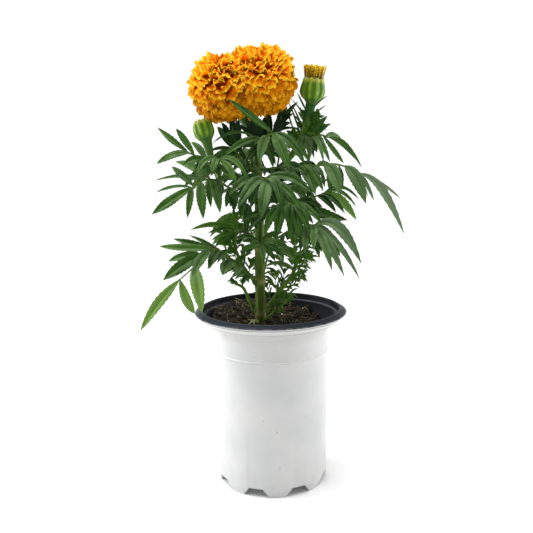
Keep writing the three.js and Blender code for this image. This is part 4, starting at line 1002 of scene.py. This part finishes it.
# Leaves of the front and sides. Each grows from the main stem at a height z, or on a branch
# at a share of its path. A leaflet is its share of the rachis, tip, width and lift; a filler,
# which closes the leaf from behind, is its share, tip and width. Bright and the sheen entries
# say which leaflets are lighter or carry a painted greyish sheen, and how much.
LEAVES = {
    "leaf_left_high": {
        "on": ("branch_left", 0.9),
        "tone": 0.55,
        "rachis": [(-45, -25, 256), (-53, -24, 261), (-60, -21, 264)],
        "leaflets": [
            (1, -82, -14, 282, 5, 0.0), (0.8, -68, -18, 281, 5, 0.06), (0.95, -82, -26, 256, 5.6, 0.09),
            (0.85, -76, -32, 260, 3.5, 0.1), (0.45, -62, -36, 255, 6, 0.2),
            (0.5, -58, -6, 271, 5.5, 0.08),
        ],
    },
    "leaf_left_front": {
        "on": ("branch_left", 0.8),
        "tone": 0.5,
        "rachis": [(-37, -26, 256), (-36, -34, 259), (-37, -42, 258)],
        "leaflets": [
            (0.7, -51, -48, 251, 5, 0.2), (0.85, -40, -54, 250, 5, 0.2), (1, -23, -56, 243, 5, 0.15),
            (0.7, -16, -46, 247, 5, 0.2),
        ],
    },
    "leaf_left_middle": {
        "z": 214,
        "rachis": [(-22, -6, 229), (-35, -14, 240), (-42, -18, 243), (-49, -22, 243), (-59, -24, 237)],
        "leaflets": [
            (1, -87, -26, 219, 8, -0.02), (0.95, -73, -10, 253, 5.5, 0.05), (0.7, -72, 6, 256, 7, 0.05),
            (0.75, -88, 2, 242, 3.5, 0.04), (1, -85, -14, 234, 3.2, 0.1),
            (0.98, -60, -34, 217, 5.5, 0.1), (0.86, -48, -40, 217, 7.5, 0.1),
            (0.68, -36, -38, 221, 7.5, 0.1), (0.74, -43, -30, 224, 5, 0.1),
        ],
        "fillers": [
            (0.3, -22, -14, 214, 6), (0.36, -30, -6, 222, 6), (0.42, -24, -20, 226, 6),
            (0.5, -38, -4, 226, 5), (0.28, -14, -12, 210, 5.5), (0.25, -18, -4, 200, 5.5),
            (0.2, -10, -10, 204, 5), (0.42, -33, -12, 222, 5.5), (0.38, -27, -14, 219, 6),
            (0.5, -37, -12, 229, 5),
        ],
    },
    "leaf_left_low": {
        "z": 162,
        "bright": {0: 0.85, 1: 1.0, 2: 0.85, 6: 0.4},
        "rachis": [
            (-18, -6, 170), (-27, -8, 178), (-41, -14, 190), (-49, -18, 188), (-59, -22, 177),
            (-71, -24, 167),
        ],
        "leaflets": [
            (1, -99, -28, 131, 8.5, 0.005), (0.98, -57, -34, 145, 7.5, -0.1),
            (0.84, -50.5, -44, 148, 10.5, 0.08), (0.66, -57, -42, 175, 8, 0.1),
            (0.72, -80, -30, 170, 9.5, 0.02), (0.74, -78, -12, 181, 7, 0.05),
            (0.6, -85, -8, 192, 7.5, 0.01), (0.5, -75, -2, 197, 6.5, 0.03),
            (0.46, -63, 2, 199, 4.2, 0.05), (0.47, -35.5, -30, 173, 8.5, 0.02),
            (0.36, -26, -26, 172, 8, 0.1), (0.52, -47, -28, 178, 5, 0.1),
        ],
        "fillers": [(0.25, -22, -10, 161, 5), (0.3, -30, -4, 166, 5), (0.55, -46, -28, 177.5, 7)],
    },
    "leaf_front_middle": {
        "z": 232,
        "tone": 0.08,
        "rachis": [(-6, -14, 237), (-5, -26, 243), (-3, -44, 246), (-2, -54, 244)],
        "leaflets": [
            (0.8, -22, -70, 227, 8, 0.15), (1, -6, -77, 221, 9, 0.12), (0.85, 29, -60, 236, 7.5, 0.15),
            (0.6, -28, -56, 235, 7, 0.15), (0.92, 24, -68, 222, 5, 0.15), (1, 9, -74, 222, 6.5, 0.3),
            (0.45, -20, -36, 226, 6.5, 0.15), (0.5, 16, -40, 228, 6.5, 0.15),
        ],
        "fillers": [
            (0.5, -14, -20, 222, 6.5), (0.5, 6, -20, 224, 6), (0.6, -24, -30, 231, 6),
            (0.6, 14, -28, 232, 6), (0.45, -16, -10, 232, 6), (0.3, -30, -6, 238, 6),
            (0.3, 14, -4, 238, 6), (0.45, 22, -14, 240, 7), (0.4, -16, -4, 224, 6),
            (0.7, -30, -40, 240, 6), (0.3, 1, -12, 243, 6),
        ],
    },
    "leaf_front_right": {
        "z": 214,
        "rachis": [(1, -13, 217), (8, -24, 224), (13, -34, 227), (18, -42, 226)],
        "leaflets": [
            (0.6, -4, -32, 203, 7, 0.15), (0.75, 4, -44, 201, 7.5, 0.15), (0.9, 15, -54, 201, 8, 0.18),
            (1, 28, -55, 206, 6.5, 0.18), (0.95, 37, -48, 213, 6.5, 0.15), (0.7, 32, -30, 211, 7, 0.15),
            (0.5, 22, -20, 202, 6, 0.15),
        ],
        "fillers": [
            (0.97, 21, -57, 202, 8), (1, 28, -50, 218, 5), (0.5, 8, -16, 203, 6),
            (0.6, 16, -18, 207, 6), (0.45, -2, -18, 206, 5.5), (0.42, -16, -14, 204, 6),
            (0.4, -22, -10, 210, 5.5), (0.7, 20, -14, 216, 7),
        ],
    },
    "leaf_front_high": {
        "z": 264,
        "tone": 0.24,
        "rachis": [(-6, -14, 271), (-1, -24, 275), (4, -36, 277)],
        "leaflets": [
            (1, -28, -46, 301, 5.5, 0), (1, 14, -56, 252, 8.5, 0.1), (0.8, -7, -50, 257, 7.5, 0.1),
            (0.95, 25, -48, 255, 7, 0.15), (0.85, 30, -38, 255, 6, 0.15),
            (0.6, -31, -36, 262, 6.5, 0.12), (0.5, -41, -26, 270, 3.2, 0.2),
            (0.3, -17, -22, 256, 5, 0.15), (0.35, 5, -24, 254, 5, 0.15),
        ],
        "fillers": [
            (0.6, 3, -30, 252, 6), (0.3, -17, -14, 292, 7), (0.4, -9, -16, 289, 7),
            (0.3, -24, -14, 284, 5), (0.35, -30, -14, 264, 6), (0.3, 8, -10, 258, 5.5),
            (0.6, 22, -20, 266, 6),
        ],
    },
    "leaf_left_top": {
        "z": 249,
        "tone": 0.05,
        "rachis": [(-15, -5, 254), (-22, -9, 261), (-28, -11, 267)],
        "leaflets": [
            (1, -38, -12, 282, 6, 0.05), (0.95, -27, -14, 283, 5, 0.05),
            (0.8, -44, -16, 264, 4.5, 0.15), (0.7, -36, -4, 256, 5.5, 0.15),
            (0.5, -27, -20, 249, 5, 0.15), (0.45, -20, -16, 246, 4.5, 0.15),
        ],
        "fillers": [
            (0.7, -24, -10, 286, 5), (0.5, -33, -18, 272, 4), (0.95, -35, -12, 285, 5),
            (0.9, -28, -14, 288, 6), (0.8, -22, -16, 287, 6),
        ],
    },
    "leaf_right_top": {
        "z": 264,
        "tone": 0.0,
        "rachis": [(-3, 5, 269), (3, 9, 276), (8, 10, 281)],
        "leaflets": [
            (1, 13.5, 6, 303, 6.5, 0), (0.95, 23, 4, 300, 4.5, 0.05), (0.8, 19, 3, 291, 5, 0.1),
            (0.7, 0, 17, 294, 5, 0.05), (0.5, 9, -3, 268, 4.5, 0.15),
        ],
        "fillers": [
            (0.4, -2, -6, 289, 6), (0.9, 17, 2, 289, 7), (0.9, 11.5, 3, 292, 5), (0.7, 17, 0, 284, 6),
            (0.8, 14, 2, 287, 7), (0.6, 20, 4, 280, 4),
        ],
    },
    "leaf_right_high": {
        "on": ("branch_right", 0.7),
        "rachis": [(34, -1, 274), (40, -4, 275), (45, -2, 273)],
        "leaflets": [
            (1, 71, 0, 250, 5, 0.17), (0.95, 66, -6, 256, 3, 0.13), (0.9, 57, 14, 271, 4.5, 0.1),
            (0.6, 47, -6, 283, 3.5, 0.1), (0.5, 43, 2, 280, 2.5, 0.1), (0.4, 44, -8, 289, 4.5, 0),
            (0.8, 56, -14, 254, 3.8, -0.05), (0.5, 45, -20, 255, 4.8, 0.15),
            (0.4, 40, -26, 255, 4, 0.15), (0.3, 34, -10, 258, 4, 0.1),
        ],
        "fillers": [(0.3, 30, -20, 257, 6), (0.25, 24, -18, 258, 5.5), (0.4, 36, -12, 262, 5)],
    },
    "leaf_right_big": {
        "z": 249,
        # Painted greyish sheen on these leaflets
        "wax": {0: 0.35, 1: 0.35, 2: 0.14, 3: 0.25, 4: 0.08, 9: 0.2},
        "rachis": [
            (6, -9, 251), (16, -14, 253), (30, -18, 252), (45, -20, 254), (56, -20, 252),
            (70, -20, 245),
        ],
        "leaflets": [
            (1, 99, -12, 227, 4, 0.05), (1, 100, -24, 202, 6.5, 0.18), (0.86, 70, -34, 226, 9.5, 0.15),
            (1, 77, -26, 227, 3.5, 0.1), (0.68, 51, -40, 233, 10, 0.12), (0.5, 33, -40, 233, 8.5, 0.12),
            (0.55, 39, -34, 235, 5, 0.12), (0.36, 22, -36, 235, 7, 0.15), (0.62, 55, 8, 236, 7, 0.15),
            (0.85, 77, 6, 227, 6, 0.12),
        ],
        "fillers": [
            (0.48, 33, -4, 244, 7), (0.61, 43, 0, 235, 5), (0.7, 52, 2, 234, 5.5),
            (0.69, 47, -4, 229, 5), (0.79, 57, 4, 233, 5), (0.4, 24, -20, 241, 6),
            (0.92, 71, 0, 236, 4.5), (0.31, 28, -30, 247, 7), (0.29, 20, -24, 251, 6),
            (0.22, 16, -2, 240, 6), (0.25, 10, -12, 236, 6), (0.5, 36, -10, 252, 6),
            (0.35, 24, 4, 246, 5), (0.58, 41.5, -10, 243, 5),
        ],
    },
    "leaf_right_middle": {
        "z": 214,
        "bright": {3: 0.8},
        "rachis": [(8, 5, 218), (20, 8, 223), (39, 12, 228), (45, 12, 231)],
        "leaflets": [
            (1, 71, 14, 224, 3.6, 0.25), (0.95, 68, 6, 219, 3.2, 0.2), (0.85, 58, 0, 216, 4, 0.15),
            (0.9, 70, 22, 207, 7.5, 0.12), (0.6, 60, -4, 210, 8.5, -0.02), (0.7, 49, 30, 239, 5, 0.1),
        ],
        "fillers": [
            (0.47, 23, -4, 214, 5.5), (0.6, 33, 2, 216, 6), (0.7, 40, -6, 215, 5),
            (0.78, 52, 4, 215, 5), (0.7, 39, 24, 241, 5), (0.85, 59, 4, 214, 4.5),
            (0.55, 41, -2, 220, 6),
        ],
    },
    "leaf_right_low": {
        "z": 189,
        # Painted greyish sheen on these leaflets
        "wax": {0: 0.22, 1: 0.22, 2: 0.18, 4: 0.1},
        "rachis": [(4, -12, 197), (15, -22, 204), (26, -32, 210), (34, -38, 211)],
        "leaflets": [
            (1, 66, -42, 183, 9, 0.27), (1, 64, -50, 173, 5, 0.15), (0.95, 52, -58, 177, 6, 0.14),
            (1, 52, -30, 186, 6.5, 0.12), (0.9, 43, -62, 182, 7, 0.14), (0.8, 24, -62, 194, 6.5, 0.12),
            (0.9, 30, -66, 197, 6, 0.12), (0.7, 19, -54, 204, 6, 0.12),
        ],
        "fillers": [
            (0.85, 22, -34, 192, 6), (0.95, 37, -44, 192, 6.5), (0.6, 13, -30, 199, 6.5),
            (0.75, 26, -20, 190, 6), (0.9, 46, -30, 186, 6), (0.85, 36, -40, 187, 6),
        ],
    },
    "leaf_front_low": {
        "z": 191,
        "rachis": [(-10, -13, 194), (-8, -19, 196), (-7, -25, 196)],
        "leaflets": [
            (0.9, -15, -34, 193, 6.5, 0.1), (1, 14, -36, 193, 6.5, 0.15), (1, -5, -38, 182, 4.6, 0.1),
            (0.8, 10, -17, 203, 4.5, 0.1),
        ],
        "fillers": [
            (0.7, -26, -30, 200, 5.5), (0.6, 4, -24, 182, 5), (0.7, 11, -20, 184, 5),
            (0.5, -24, -26, 205, 6), (0.5, -21, -16, 196, 5),
        ],
    },
}

# Leaves of the far side: joint height, azimuth, reach, rise, leaflet length and width.
FAR_LEAVES = {
    "leaf_back_low": (162, 74, 46, 22, 27, 7),
    "leaf_back_left_low": (189, 110, 54, 20, 33, 7.5),
    "leaf_back_right": (214, 50, 40, 22, 27, 7),
    "leaf_back_left": (232, 149, 42, 20, 28, 7),
    "leaf_back_middle": (249, 117, 40, 15, 30, 7.5),
    "leaf_back_high": (264, 83, 30, 14, 20, 5),
}


def far_leaf(plan, random):
    """A regular leaf: three pairs of leaflets and an end one, on an arched rachis."""
    height, azimuth, reach, rise, length, width = plan
    out = compass(math.radians(azimuth))
    across = np.cross(UP, out)
    joint = vec(STEM_FOOT[0], 0, height)

    def rachis_point(share):
        return joint + out * reach * (0.12 + 0.88 * share) + rise * math.sin(1.9 * share) * UP

    leaflets = []
    for u, side in ((0.52, 1), (0.48, -1), (0.75, 1), (0.71, -1), (0.95, 1), (0.91, -1), (1, 0)):
        long = length * (0.85 + 0.3 * random()) * (1 if side else 1.1)
        base = rachis_point(0.12 + 0.88 * ((u * 5 - 1) / 4))
        spread = 0.5 * out - 0.55 * UP if side else 0.75 * out - 0.7 * UP
        tip = base + long * unit(spread + across * side * 0.75)
        leaflets.append((u, *tip, width * (0.85 + 0.3 * random()), 0.14))
    rachis = [rachis_point(share) for share in (0.12, 0.4, 0.7, 1)]
    return {"z": height, "rachis": rachis, "leaflets": leaflets}


# Flower head

# The head's domes; a "square" over 2 fills an ellipsoid's shoulders out.
LOBES = {
    "right": {"at": vec(-5, -1, 316), "radii": vec(26.4, 34, 26.6), "square": 2, "petals": 176},
    "left": {"at": vec(-32.5, -2, 310.8), "radii": vec(25.4, 33, 24.8), "square": 2.5, "petals": 168},
    "middle": {"at": vec(-15.5, -4, 314), "radii": vec(18, 30, 27), "square": 2.2, "petals": 88},
}
HEAD_AXIS = unit(vec(-0.12, -0.28, 0.95))
HEAD_LOWEST = 2.7
HEAD_FRONT = vec(0.3, -0.95, 0)
PETAL_ROWS, PETAL_COLUMNS = 12, 28
BURIED = 0.88
HOLLOW = {"place": vec(-20, -25, 327), "reach": 5}


def on_lobe(lobe, outward):
    """The way from a lobe's centre to its surface, for unit directions."""
    power = lobe["square"]
    size = (np.abs(outward) ** power).sum(axis=-1, keepdims=True) ** (1 / power)
    return outward * lobe["radii"] / size


def down_the_head(normal, outward):
    """On a lobe's surface: the way down from the head's top, and the way beside it."""
    down = normal * HEAD_AXIS.dot(normal) - HEAD_AXIS
    if np.linalg.norm(outward - HEAD_AXIS * outward.dot(HEAD_AXIS)) < 0.14:
        down = HEAD_FRONT - normal * normal.dot(HEAD_FRONT)
    down = unit(down)
    return down, np.cross(normal, down)


def ruffled_sheet(path, headings, across, half, low, random):
    """A fan along a path, waved and frilled towards its lobed end, and its waves' heights."""
    v = np.linspace(0, 1, PETAL_ROWS)[:, None]
    u = np.linspace(-1, 1, PETAL_COLUMNS)[None, :]
    phases = [2 * math.pi * random() for _ in range(5)]
    waves, fine = 1.1 + 0.8 * random(), 3.6 + 1.4 * random()
    spread = (0.14 + 0.86 * smooth(v, 0.0, 0.75)) * (1 - 0.06 * smooth(v, 0.75, 1.0))
    ruffled, frill = smooth(v, 0.3, 1.0), smooth(v, 0.55, 1.0) ** 1.3
    wave = (1.8 - 0.8 * low) * ruffled * np.sin(math.pi * waves * u + phases[0])
    curl = 1.35 + 0.55 * np.sin(2.1 * u + phases[1])
    wave = wave + (1 - 0.35 * low) * curl * frill * np.sin(math.pi * fine * u + phases[2])
    wave = wave + 1.4 * ruffled * (1 - u * u) * (0.4 + random())
    lobed = 0.6 * np.cos(math.pi * 2.1 * u + phases[3]) + 0.45 * np.cos(math.pi * 5.7 * u + phases[4])
    forward = (lobed - 3.2 * np.abs(u) ** 3) * smooth(v, 0.5, 1.0)
    squeezed = 1 - 0.12 * frill * np.cos(2 * math.pi * waves * u)
    sheet = (
        path[:, None, :]
        + (half * spread * u * squeezed)[..., None] * across
        + wave[..., None] * np.cross(across, headings)[:, None, :]
        + forward[..., None] * headings[:, None, :]
    )
    return sheet, wave


def thin_shell(sheet):
    """A sheet's points, row by row over its top and back under it; thinner towards its rim."""
    v = np.linspace(0, 1, PETAL_ROWS)[:, None]
    u = np.linspace(-1, 1, PETAL_COLUMNS)[None, :]
    thick = (0.5 * (1 - 0.7 * v) * (1 - 0.6 * u**4))[..., None] / 2
    skin = np.cross(np.gradient(sheet, axis=1), np.gradient(sheet, axis=0))
    skin /= np.linalg.norm(skin, axis=2, keepdims=True) + 1e-9
    return np.concatenate([sheet + skin * thick, (sheet - skin * thick)[:, ::-1]], axis=1)


def petal(shape, lobe, outward, random):
    """One ray petal: a thin fan that leaves the head, turns over and ends in ruffles."""
    normal = unit(outward / lobe["radii"])
    turning, leaning, swelling = (
        noise.noise(Vector(outward * 2.4 + lobe["at"] / 9 + shift)) for shift in (0, 5, 9)
    )
    twist = 0.7 * (random() - 0.5) + 1.3 * turning
    down, across = rotated(*down_the_head(normal, outward), twist)
    polar = math.acos(np.clip(outward.dot(HEAD_AXIS), -1, 1))
    low, crown = smooth(polar, 1.1, 2.1), 1 - smooth(polar, 0.5, 1.2)
    length = 15 + 3 * random() + 4 * low
    bend = 0.35 + 0.5 * random() + 0.95 * smooth(polar, 0.4, 1.7) + 0.4 * crown
    half = (5.8 + 3.0 * random() ** 1.5) * (1 + 0.3 * low)
    reach = 0.93 + 0.07 * random() + 0.07 * swelling
    lean = 0.3 * (random() - 0.5) + 0.45 * leaning

    v = np.linspace(0, 1, PETAL_ROWS)
    turn = lean + (bend - lean) * smooth(v, 0.42, 1.0)
    headings = np.outer(np.cos(turn), normal) + np.outer(np.sin(turn), down)
    path = np.vstack([np.zeros(3), np.cumsum(headings[:-1] * length / (PETAL_ROWS - 1), axis=0)])
    surface = lobe["at"] + on_lobe(lobe, outward) * reach
    path = path + surface - normal * (path @ normal).max() - down * (path @ down)[PETAL_ROWS // 2]
    sheet, wave = ruffled_sheet(path, headings, across, half, low, random)

    def each(values):
        values = np.broadcast_to(values, wave.shape)
        return np.concatenate([values, values[:, ::-1]], axis=1).ravel()

    v = v[:, None]
    # Crests of the ruffles get extra edge yellow, a painted highlight
    lit_crests = smooth(v, 0.55, 1.0) ** 1.3 * np.clip(wave / 3, 0, 1)
    shape.loft(
        thin_shell(sheet),
        edge=each(smooth(v, 0.81, 0.98) + 0.15 * lit_crests),
        # Painted shade towards each petal's foot, less on the crown
        deep=each((1 - 0.35 * crown) * (1 - smooth(v, 0.38, 0.78))),
        across=each(np.linspace(-1, 1, PETAL_COLUMNS)),
        # Painted shade, by how far down the head the petal sits
        shade=float(smooth(polar, 0.95, 2.0)),
    )


def head_core(shape, lobe):
    """The closed mass under a lobe's petals."""
    rings = []
    for polar in np.linspace(0.03, math.pi - 0.03, 24):
        ring = circle(UP * np.cos(polar), np.sin(polar), angles_round(48))
        rings.append(lobe["at"] + on_lobe(lobe, ring) * 0.7)
    # The core is painted as deep shade
    shape.loft(rings, deep=1.6)


def flower_head():
    """Each lobe's core and petals, spread from the head's top by the golden angle. Petals that
    would end inside another lobe or in the hollow are left out."""
    random = seeded(SEEDS["head"])
    to_axis = Vector(UP).rotation_difference(Vector(HEAD_AXIS)).to_matrix()
    look = petal_look()
    for which, (name, lobe) in enumerate(LOBES.items()):
        others = [other for other in LOBES.values() if other is not lobe]
        shape = Shape("petals_" + name)
        head_core(shape, lobe)
        for i in range(lobe["petals"]):
            cos = 1 - (i + 0.5) / lobe["petals"] * (1 - math.cos(HEAD_LOWEST))
            level = math.sqrt(1 - cos * cos) * compass(i * GOLDEN + which)
            outward = vec(to_axis @ Vector(level + cos * UP))
            end = lobe["at"] + on_lobe(lobe, outward)
            if any(np.linalg.norm((end - o["at"]) / o["radii"]) < BURIED for o in others):
                continue
            if np.linalg.norm(end - HOLLOW["place"]) < HOLLOW["reach"]:
                continue
            petal(shape, lobe, outward, random)
        shape.make([look], ["flower_head"], crease=75)


# Bud cups

RIGHT_BUD = {"base": vec(32.5, 1.9, 298.6), "top": vec(35.8, 0, 326)}


def cup(node, base, top, profile, ribs, depth, rim=None, mouth=1, steps=48, sides=96):
    """A ribbed cup round a straight axis. The profile's rows are distance, radius and share of
    ribs; rim is the distance of its lip, and mouth the share of the profile to its inside."""
    base = vec(base)
    axis = unit(vec(top) - base)
    across, other = across_axis(axis)
    angles = angles_round(sides)
    outline = Stalk(profile)
    ridge = 0.5 + 0.5 * np.cos(ribs * angles)
    rings, rib, lips, plain, inside = [], [], [], [], []
    for i in range(steps + 1):
        distance, radius, share = outline.at(i / steps)
        lip = smooth(distance, rim - 4, rim) if rim else 0.0
        centres = base + np.outer(distance + lip * 0.8 * (ridge - 0.5), axis)
        r = radius * (1 + depth * share * (2 * ridge**0.7 - 1))
        rings.append(circle(centres, r, angles, across, other))
        rib.append(ridge * share)
        lips.append(lip)
        plain.append(1 - smooth(share, 0.05, 0.8))
        inside.append(float(i / steps > mouth))
    shape = Shape(node + "_finished")
    per_ring = {"rim": lips, "stalk": plain, "mouth": inside}
    per_point = {key: np.repeat(values, sides) for key, values in per_ring.items()}
    shape.loft(rings, rib=np.ravel(rib), **per_point)
    shape.make([CALYX], [node])


def flower_cup():
    # Its lower part is plain stalk in the calyx's dark streaked stalk colour, which here also stands in
    # for painted shade under the bloom
    profile = [(0, 2.9, 0), (8, 3.5, 0), (13, 5.6, 0), (19, 7.4, 0.4), (27, 9.0, 0.6)]
    cup("flower_cup", (-10.0, 0, 269.8), (-17, -3, 297), profile, 8, 0.09)


def left_bud():
    profile = [
        (-1.5, 2.1, 0), (0, 2.1, 0), (8, 3.1, 0), (13.5, 4.0, 0),
        (16, 5.6, 0.7), (19, 7.1, 1), (23, 7.3, 1), (26.5, 6.7, 1),
        (28.8, 5.2, 0.9), (29.4, 4.0, 0.7), (28.2, 2.9, 0.4), (26.5, 0.6, 0),
    ]
    cup("bud_left", (-42.1, -22.2, 258.9), (-48.9, -17, 284), profile, 10, 0.055, rim=29, mouth=0.86)


def right_bud_cup():
    profile = [
        (-1.2, 3.2, 0), (0, 4.0, 0), (2, 5.2, 0.2), (4.7, 7.9, 0.9),
        (8.3, 9.1, 1), (12, 8.7, 1), (15.5, 7.9, 1), (17.6, 7.5, 0.9),
        (18.5, 7.1, 0.7), (18.2, 6.6, 0.4), (13, 5.9, 0), (12, 0.6, 0),
    ]
    cup("bud_right_cup", *RIGHT_BUD.values(), profile, 10, 0.055, rim=18.4, mouth=0.82)


def tiny_bud(carrier):
    top = (13, -3, 288)
    foot = seat(carrier, 0.38, top)[0]
    profile = [
        (0, 0.8, 0), (22, 0.8, 0), (24, 2.4, 0.4), (27, 3.1, 1), (29, 2.2, 1), (29.4, 1.6, 0.5),
        (28.6, 0.4, 0),
    ]
    cup("bud_tiny", foot, top, profile, 5, 0.08, rim=29, mouth=0.92, steps=40, sides=40)


def floret(shape, foot, top, out, axis, random):
    """A flat tube that flares to a frayed end."""
    sides, steps = 10, 8
    side = np.cross(axis, out)
    path = Stalk([foot, (foot + top) / 2 + out * 0.25, top], [0.55, 0.62, 0.9])
    angles = angles_round(sides)
    frayed = np.outer(0.5 * np.sin(3 * angles + 2 * math.pi * random()), axis)
    rings, edge, deep = [], [], []
    for k in range(steps + 1):
        u = k / steps
        ring = circle(path.at(u), path.radius(u), angles, 1.15 * side, 0.5 * out)
        rings.append(ring + frayed * (k == steps))
        edge.append(smooth(u, 0.75, 1.0) * (0.4 + 0.6 * random()))
        deep.append(1 - smooth(u, 0.35, 0.75))
    shape.loft(rings, edge=np.repeat(edge, sides), deep=np.repeat(deep, sides))


def floret_brush():
    """The opening bud's florets: a tight sheaf that rises out of its cup."""
    shape = Shape("bud_right_florets_finished")
    random = seeded(SEEDS["florets"])
    count, deep_in = 74, 13
    base = RIGHT_BUD["base"]
    axis = unit(RIGHT_BUD["top"] - base)
    across, other = across_axis(axis)
    for i in range(count):
        share = math.sqrt((i + 0.5) / count)
        out = across * math.cos(i * GOLDEN) + other * math.sin(i * GOLDEN)
        foot = base + axis * deep_in + out * 5.6 * share
        height = 13.9 + 1.4 * random() - 2.4 * (1 - share)
        top = base + axis * (deep_in + height) + out * (6.9 * share + 1.7 * share**3)
        floret(shape, foot, top, out, axis, random)
    shape.make([floret_look()], ["bud_right_florets"], crease=50)


# Floor, light and camera

FLOOR_RADIUS = 6000
LAMPS_AIM = vec(0, 0, 200)
# The photo's camera: its place, its tilts in degrees, and its focal length in image widths
CAMERA = {"place": (-2.84, -576, 281), "down": 10.55, "roll": -0.77, "focal": 746 / 533}


def stage():
    """A wide pale disc under the pot."""
    sides = 96
    mesh = bpy.data.meshes.new("floor")
    corners = circle(vec(0, 0, 0), FLOOR_RADIUS * MM, angles_round(sides))
    mesh.from_pydata(corners.tolist(), [], [list(range(sides))])
    floor = bpy.data.objects.new("floor", mesh)
    bpy.context.scene.collection.objects.link(floor)
    look = Look("pale_floor", Roughness=0.7)
    look.paint(look.noise(3), (0.92, 0.92, 0.92), (0.95, 0.95, 0.95))
    mesh.materials.append(look.material)


def lamp(name, kind, place, energy, **settings):
    """A light at a place, aimed at the middle of the plant."""
    light = bpy.data.lights.new(name, kind)
    light.energy = energy
    for key, value in settings.items():
        setattr(light, key, value)
    made = bpy.data.objects.new(name, light)
    made.location = vec(place) * MM
    aim = Vector(LAMPS_AIM - vec(place))
    made.rotation_euler = aim.to_track_quat("-Z", "Y").to_euler()
    bpy.context.scene.collection.objects.link(made)


def sky():
    """A pale surround: white round the horizon, dimmer overhead, where the lamp is."""
    world = bpy.data.worlds.new("studio")
    world.use_nodes = True
    tree = world.node_tree
    place = tree.nodes.new("ShaderNodeTexCoord")
    height = tree.nodes.new("ShaderNodeSeparateXYZ")
    fade = tree.nodes.new("ShaderNodeMapRange")
    tree.links.new(place.outputs["Generated"], height.inputs[0])
    tree.links.new(height.outputs[2], fade.inputs["Value"])
    tree.links.new(fade.outputs[0], tree.nodes["Background"].inputs["Strength"])
    for socket, value in zip(fade.inputs[1:5], (0.18, 0.42, 1.05, 0.3)):
        socket.default_value = value
    tree.nodes["Background"].inputs["Color"].default_value = (1, 1, 1, 1)
    bpy.context.scene.world = world


def lights():
    """The surround, a soft lamp overhead and a faint one behind the plant on each side."""
    sky()
    lamp("overhead", "SUN", (-240, -60, 1500), 2.9, angle=math.radians(54))
    lamp("left_rim", "AREA", (-740, 150, 350), 6.2, shape="DISK", size=0.6)
    lamp("right_rim", "AREA", (740, 160, 300), 4, shape="DISK", size=0.6)
    bpy.context.scene.view_settings.view_transform = "Standard"


def camera():
    """The photo's own view."""
    data = bpy.data.cameras.new("camera")
    data.sensor_width = 36
    data.lens = data.sensor_width * CAMERA["focal"]
    data.clip_start = 0.01
    made = bpy.data.objects.new("camera", data)
    pitch = Matrix.Rotation(math.radians(90 - CAMERA["down"]), 4, "X")
    roll = Matrix.Rotation(math.radians(CAMERA["roll"]), 4, "Z")
    made.matrix_world = Matrix.Translation(Vector(CAMERA["place"]) * MM) @ pitch @ roll
    bpy.context.scene.collection.objects.link(made)
    bpy.context.scene.camera = made


def build():
    camera()
    lights()
    stage()
    pot()
    soil()
    main_stem()
    carriers = {"main_stem": MAIN_STEM}
    for name, plan in BRANCHES.items():
        carriers[name] = branch(name, plan)
    random, own = seeded(SEEDS["far_leaves"]), seeded(SEEDS["leaves"])
    for name, leaf in LEAVES.items():
        leaf_piece(name, leaf, carriers, LEAF_FACE, own)
    for name, plan in FAR_LEAVES.items():
        leaf_piece(name, far_leaf(plan, random), carriers, BACK_FACE, own)
    flower_head()
    flower_cup()
    left_bud()
    right_bud_cup()
    floret_brush()
    tiny_bud(carriers["branch_right"])


build()
bpy.context.view_layer.update()
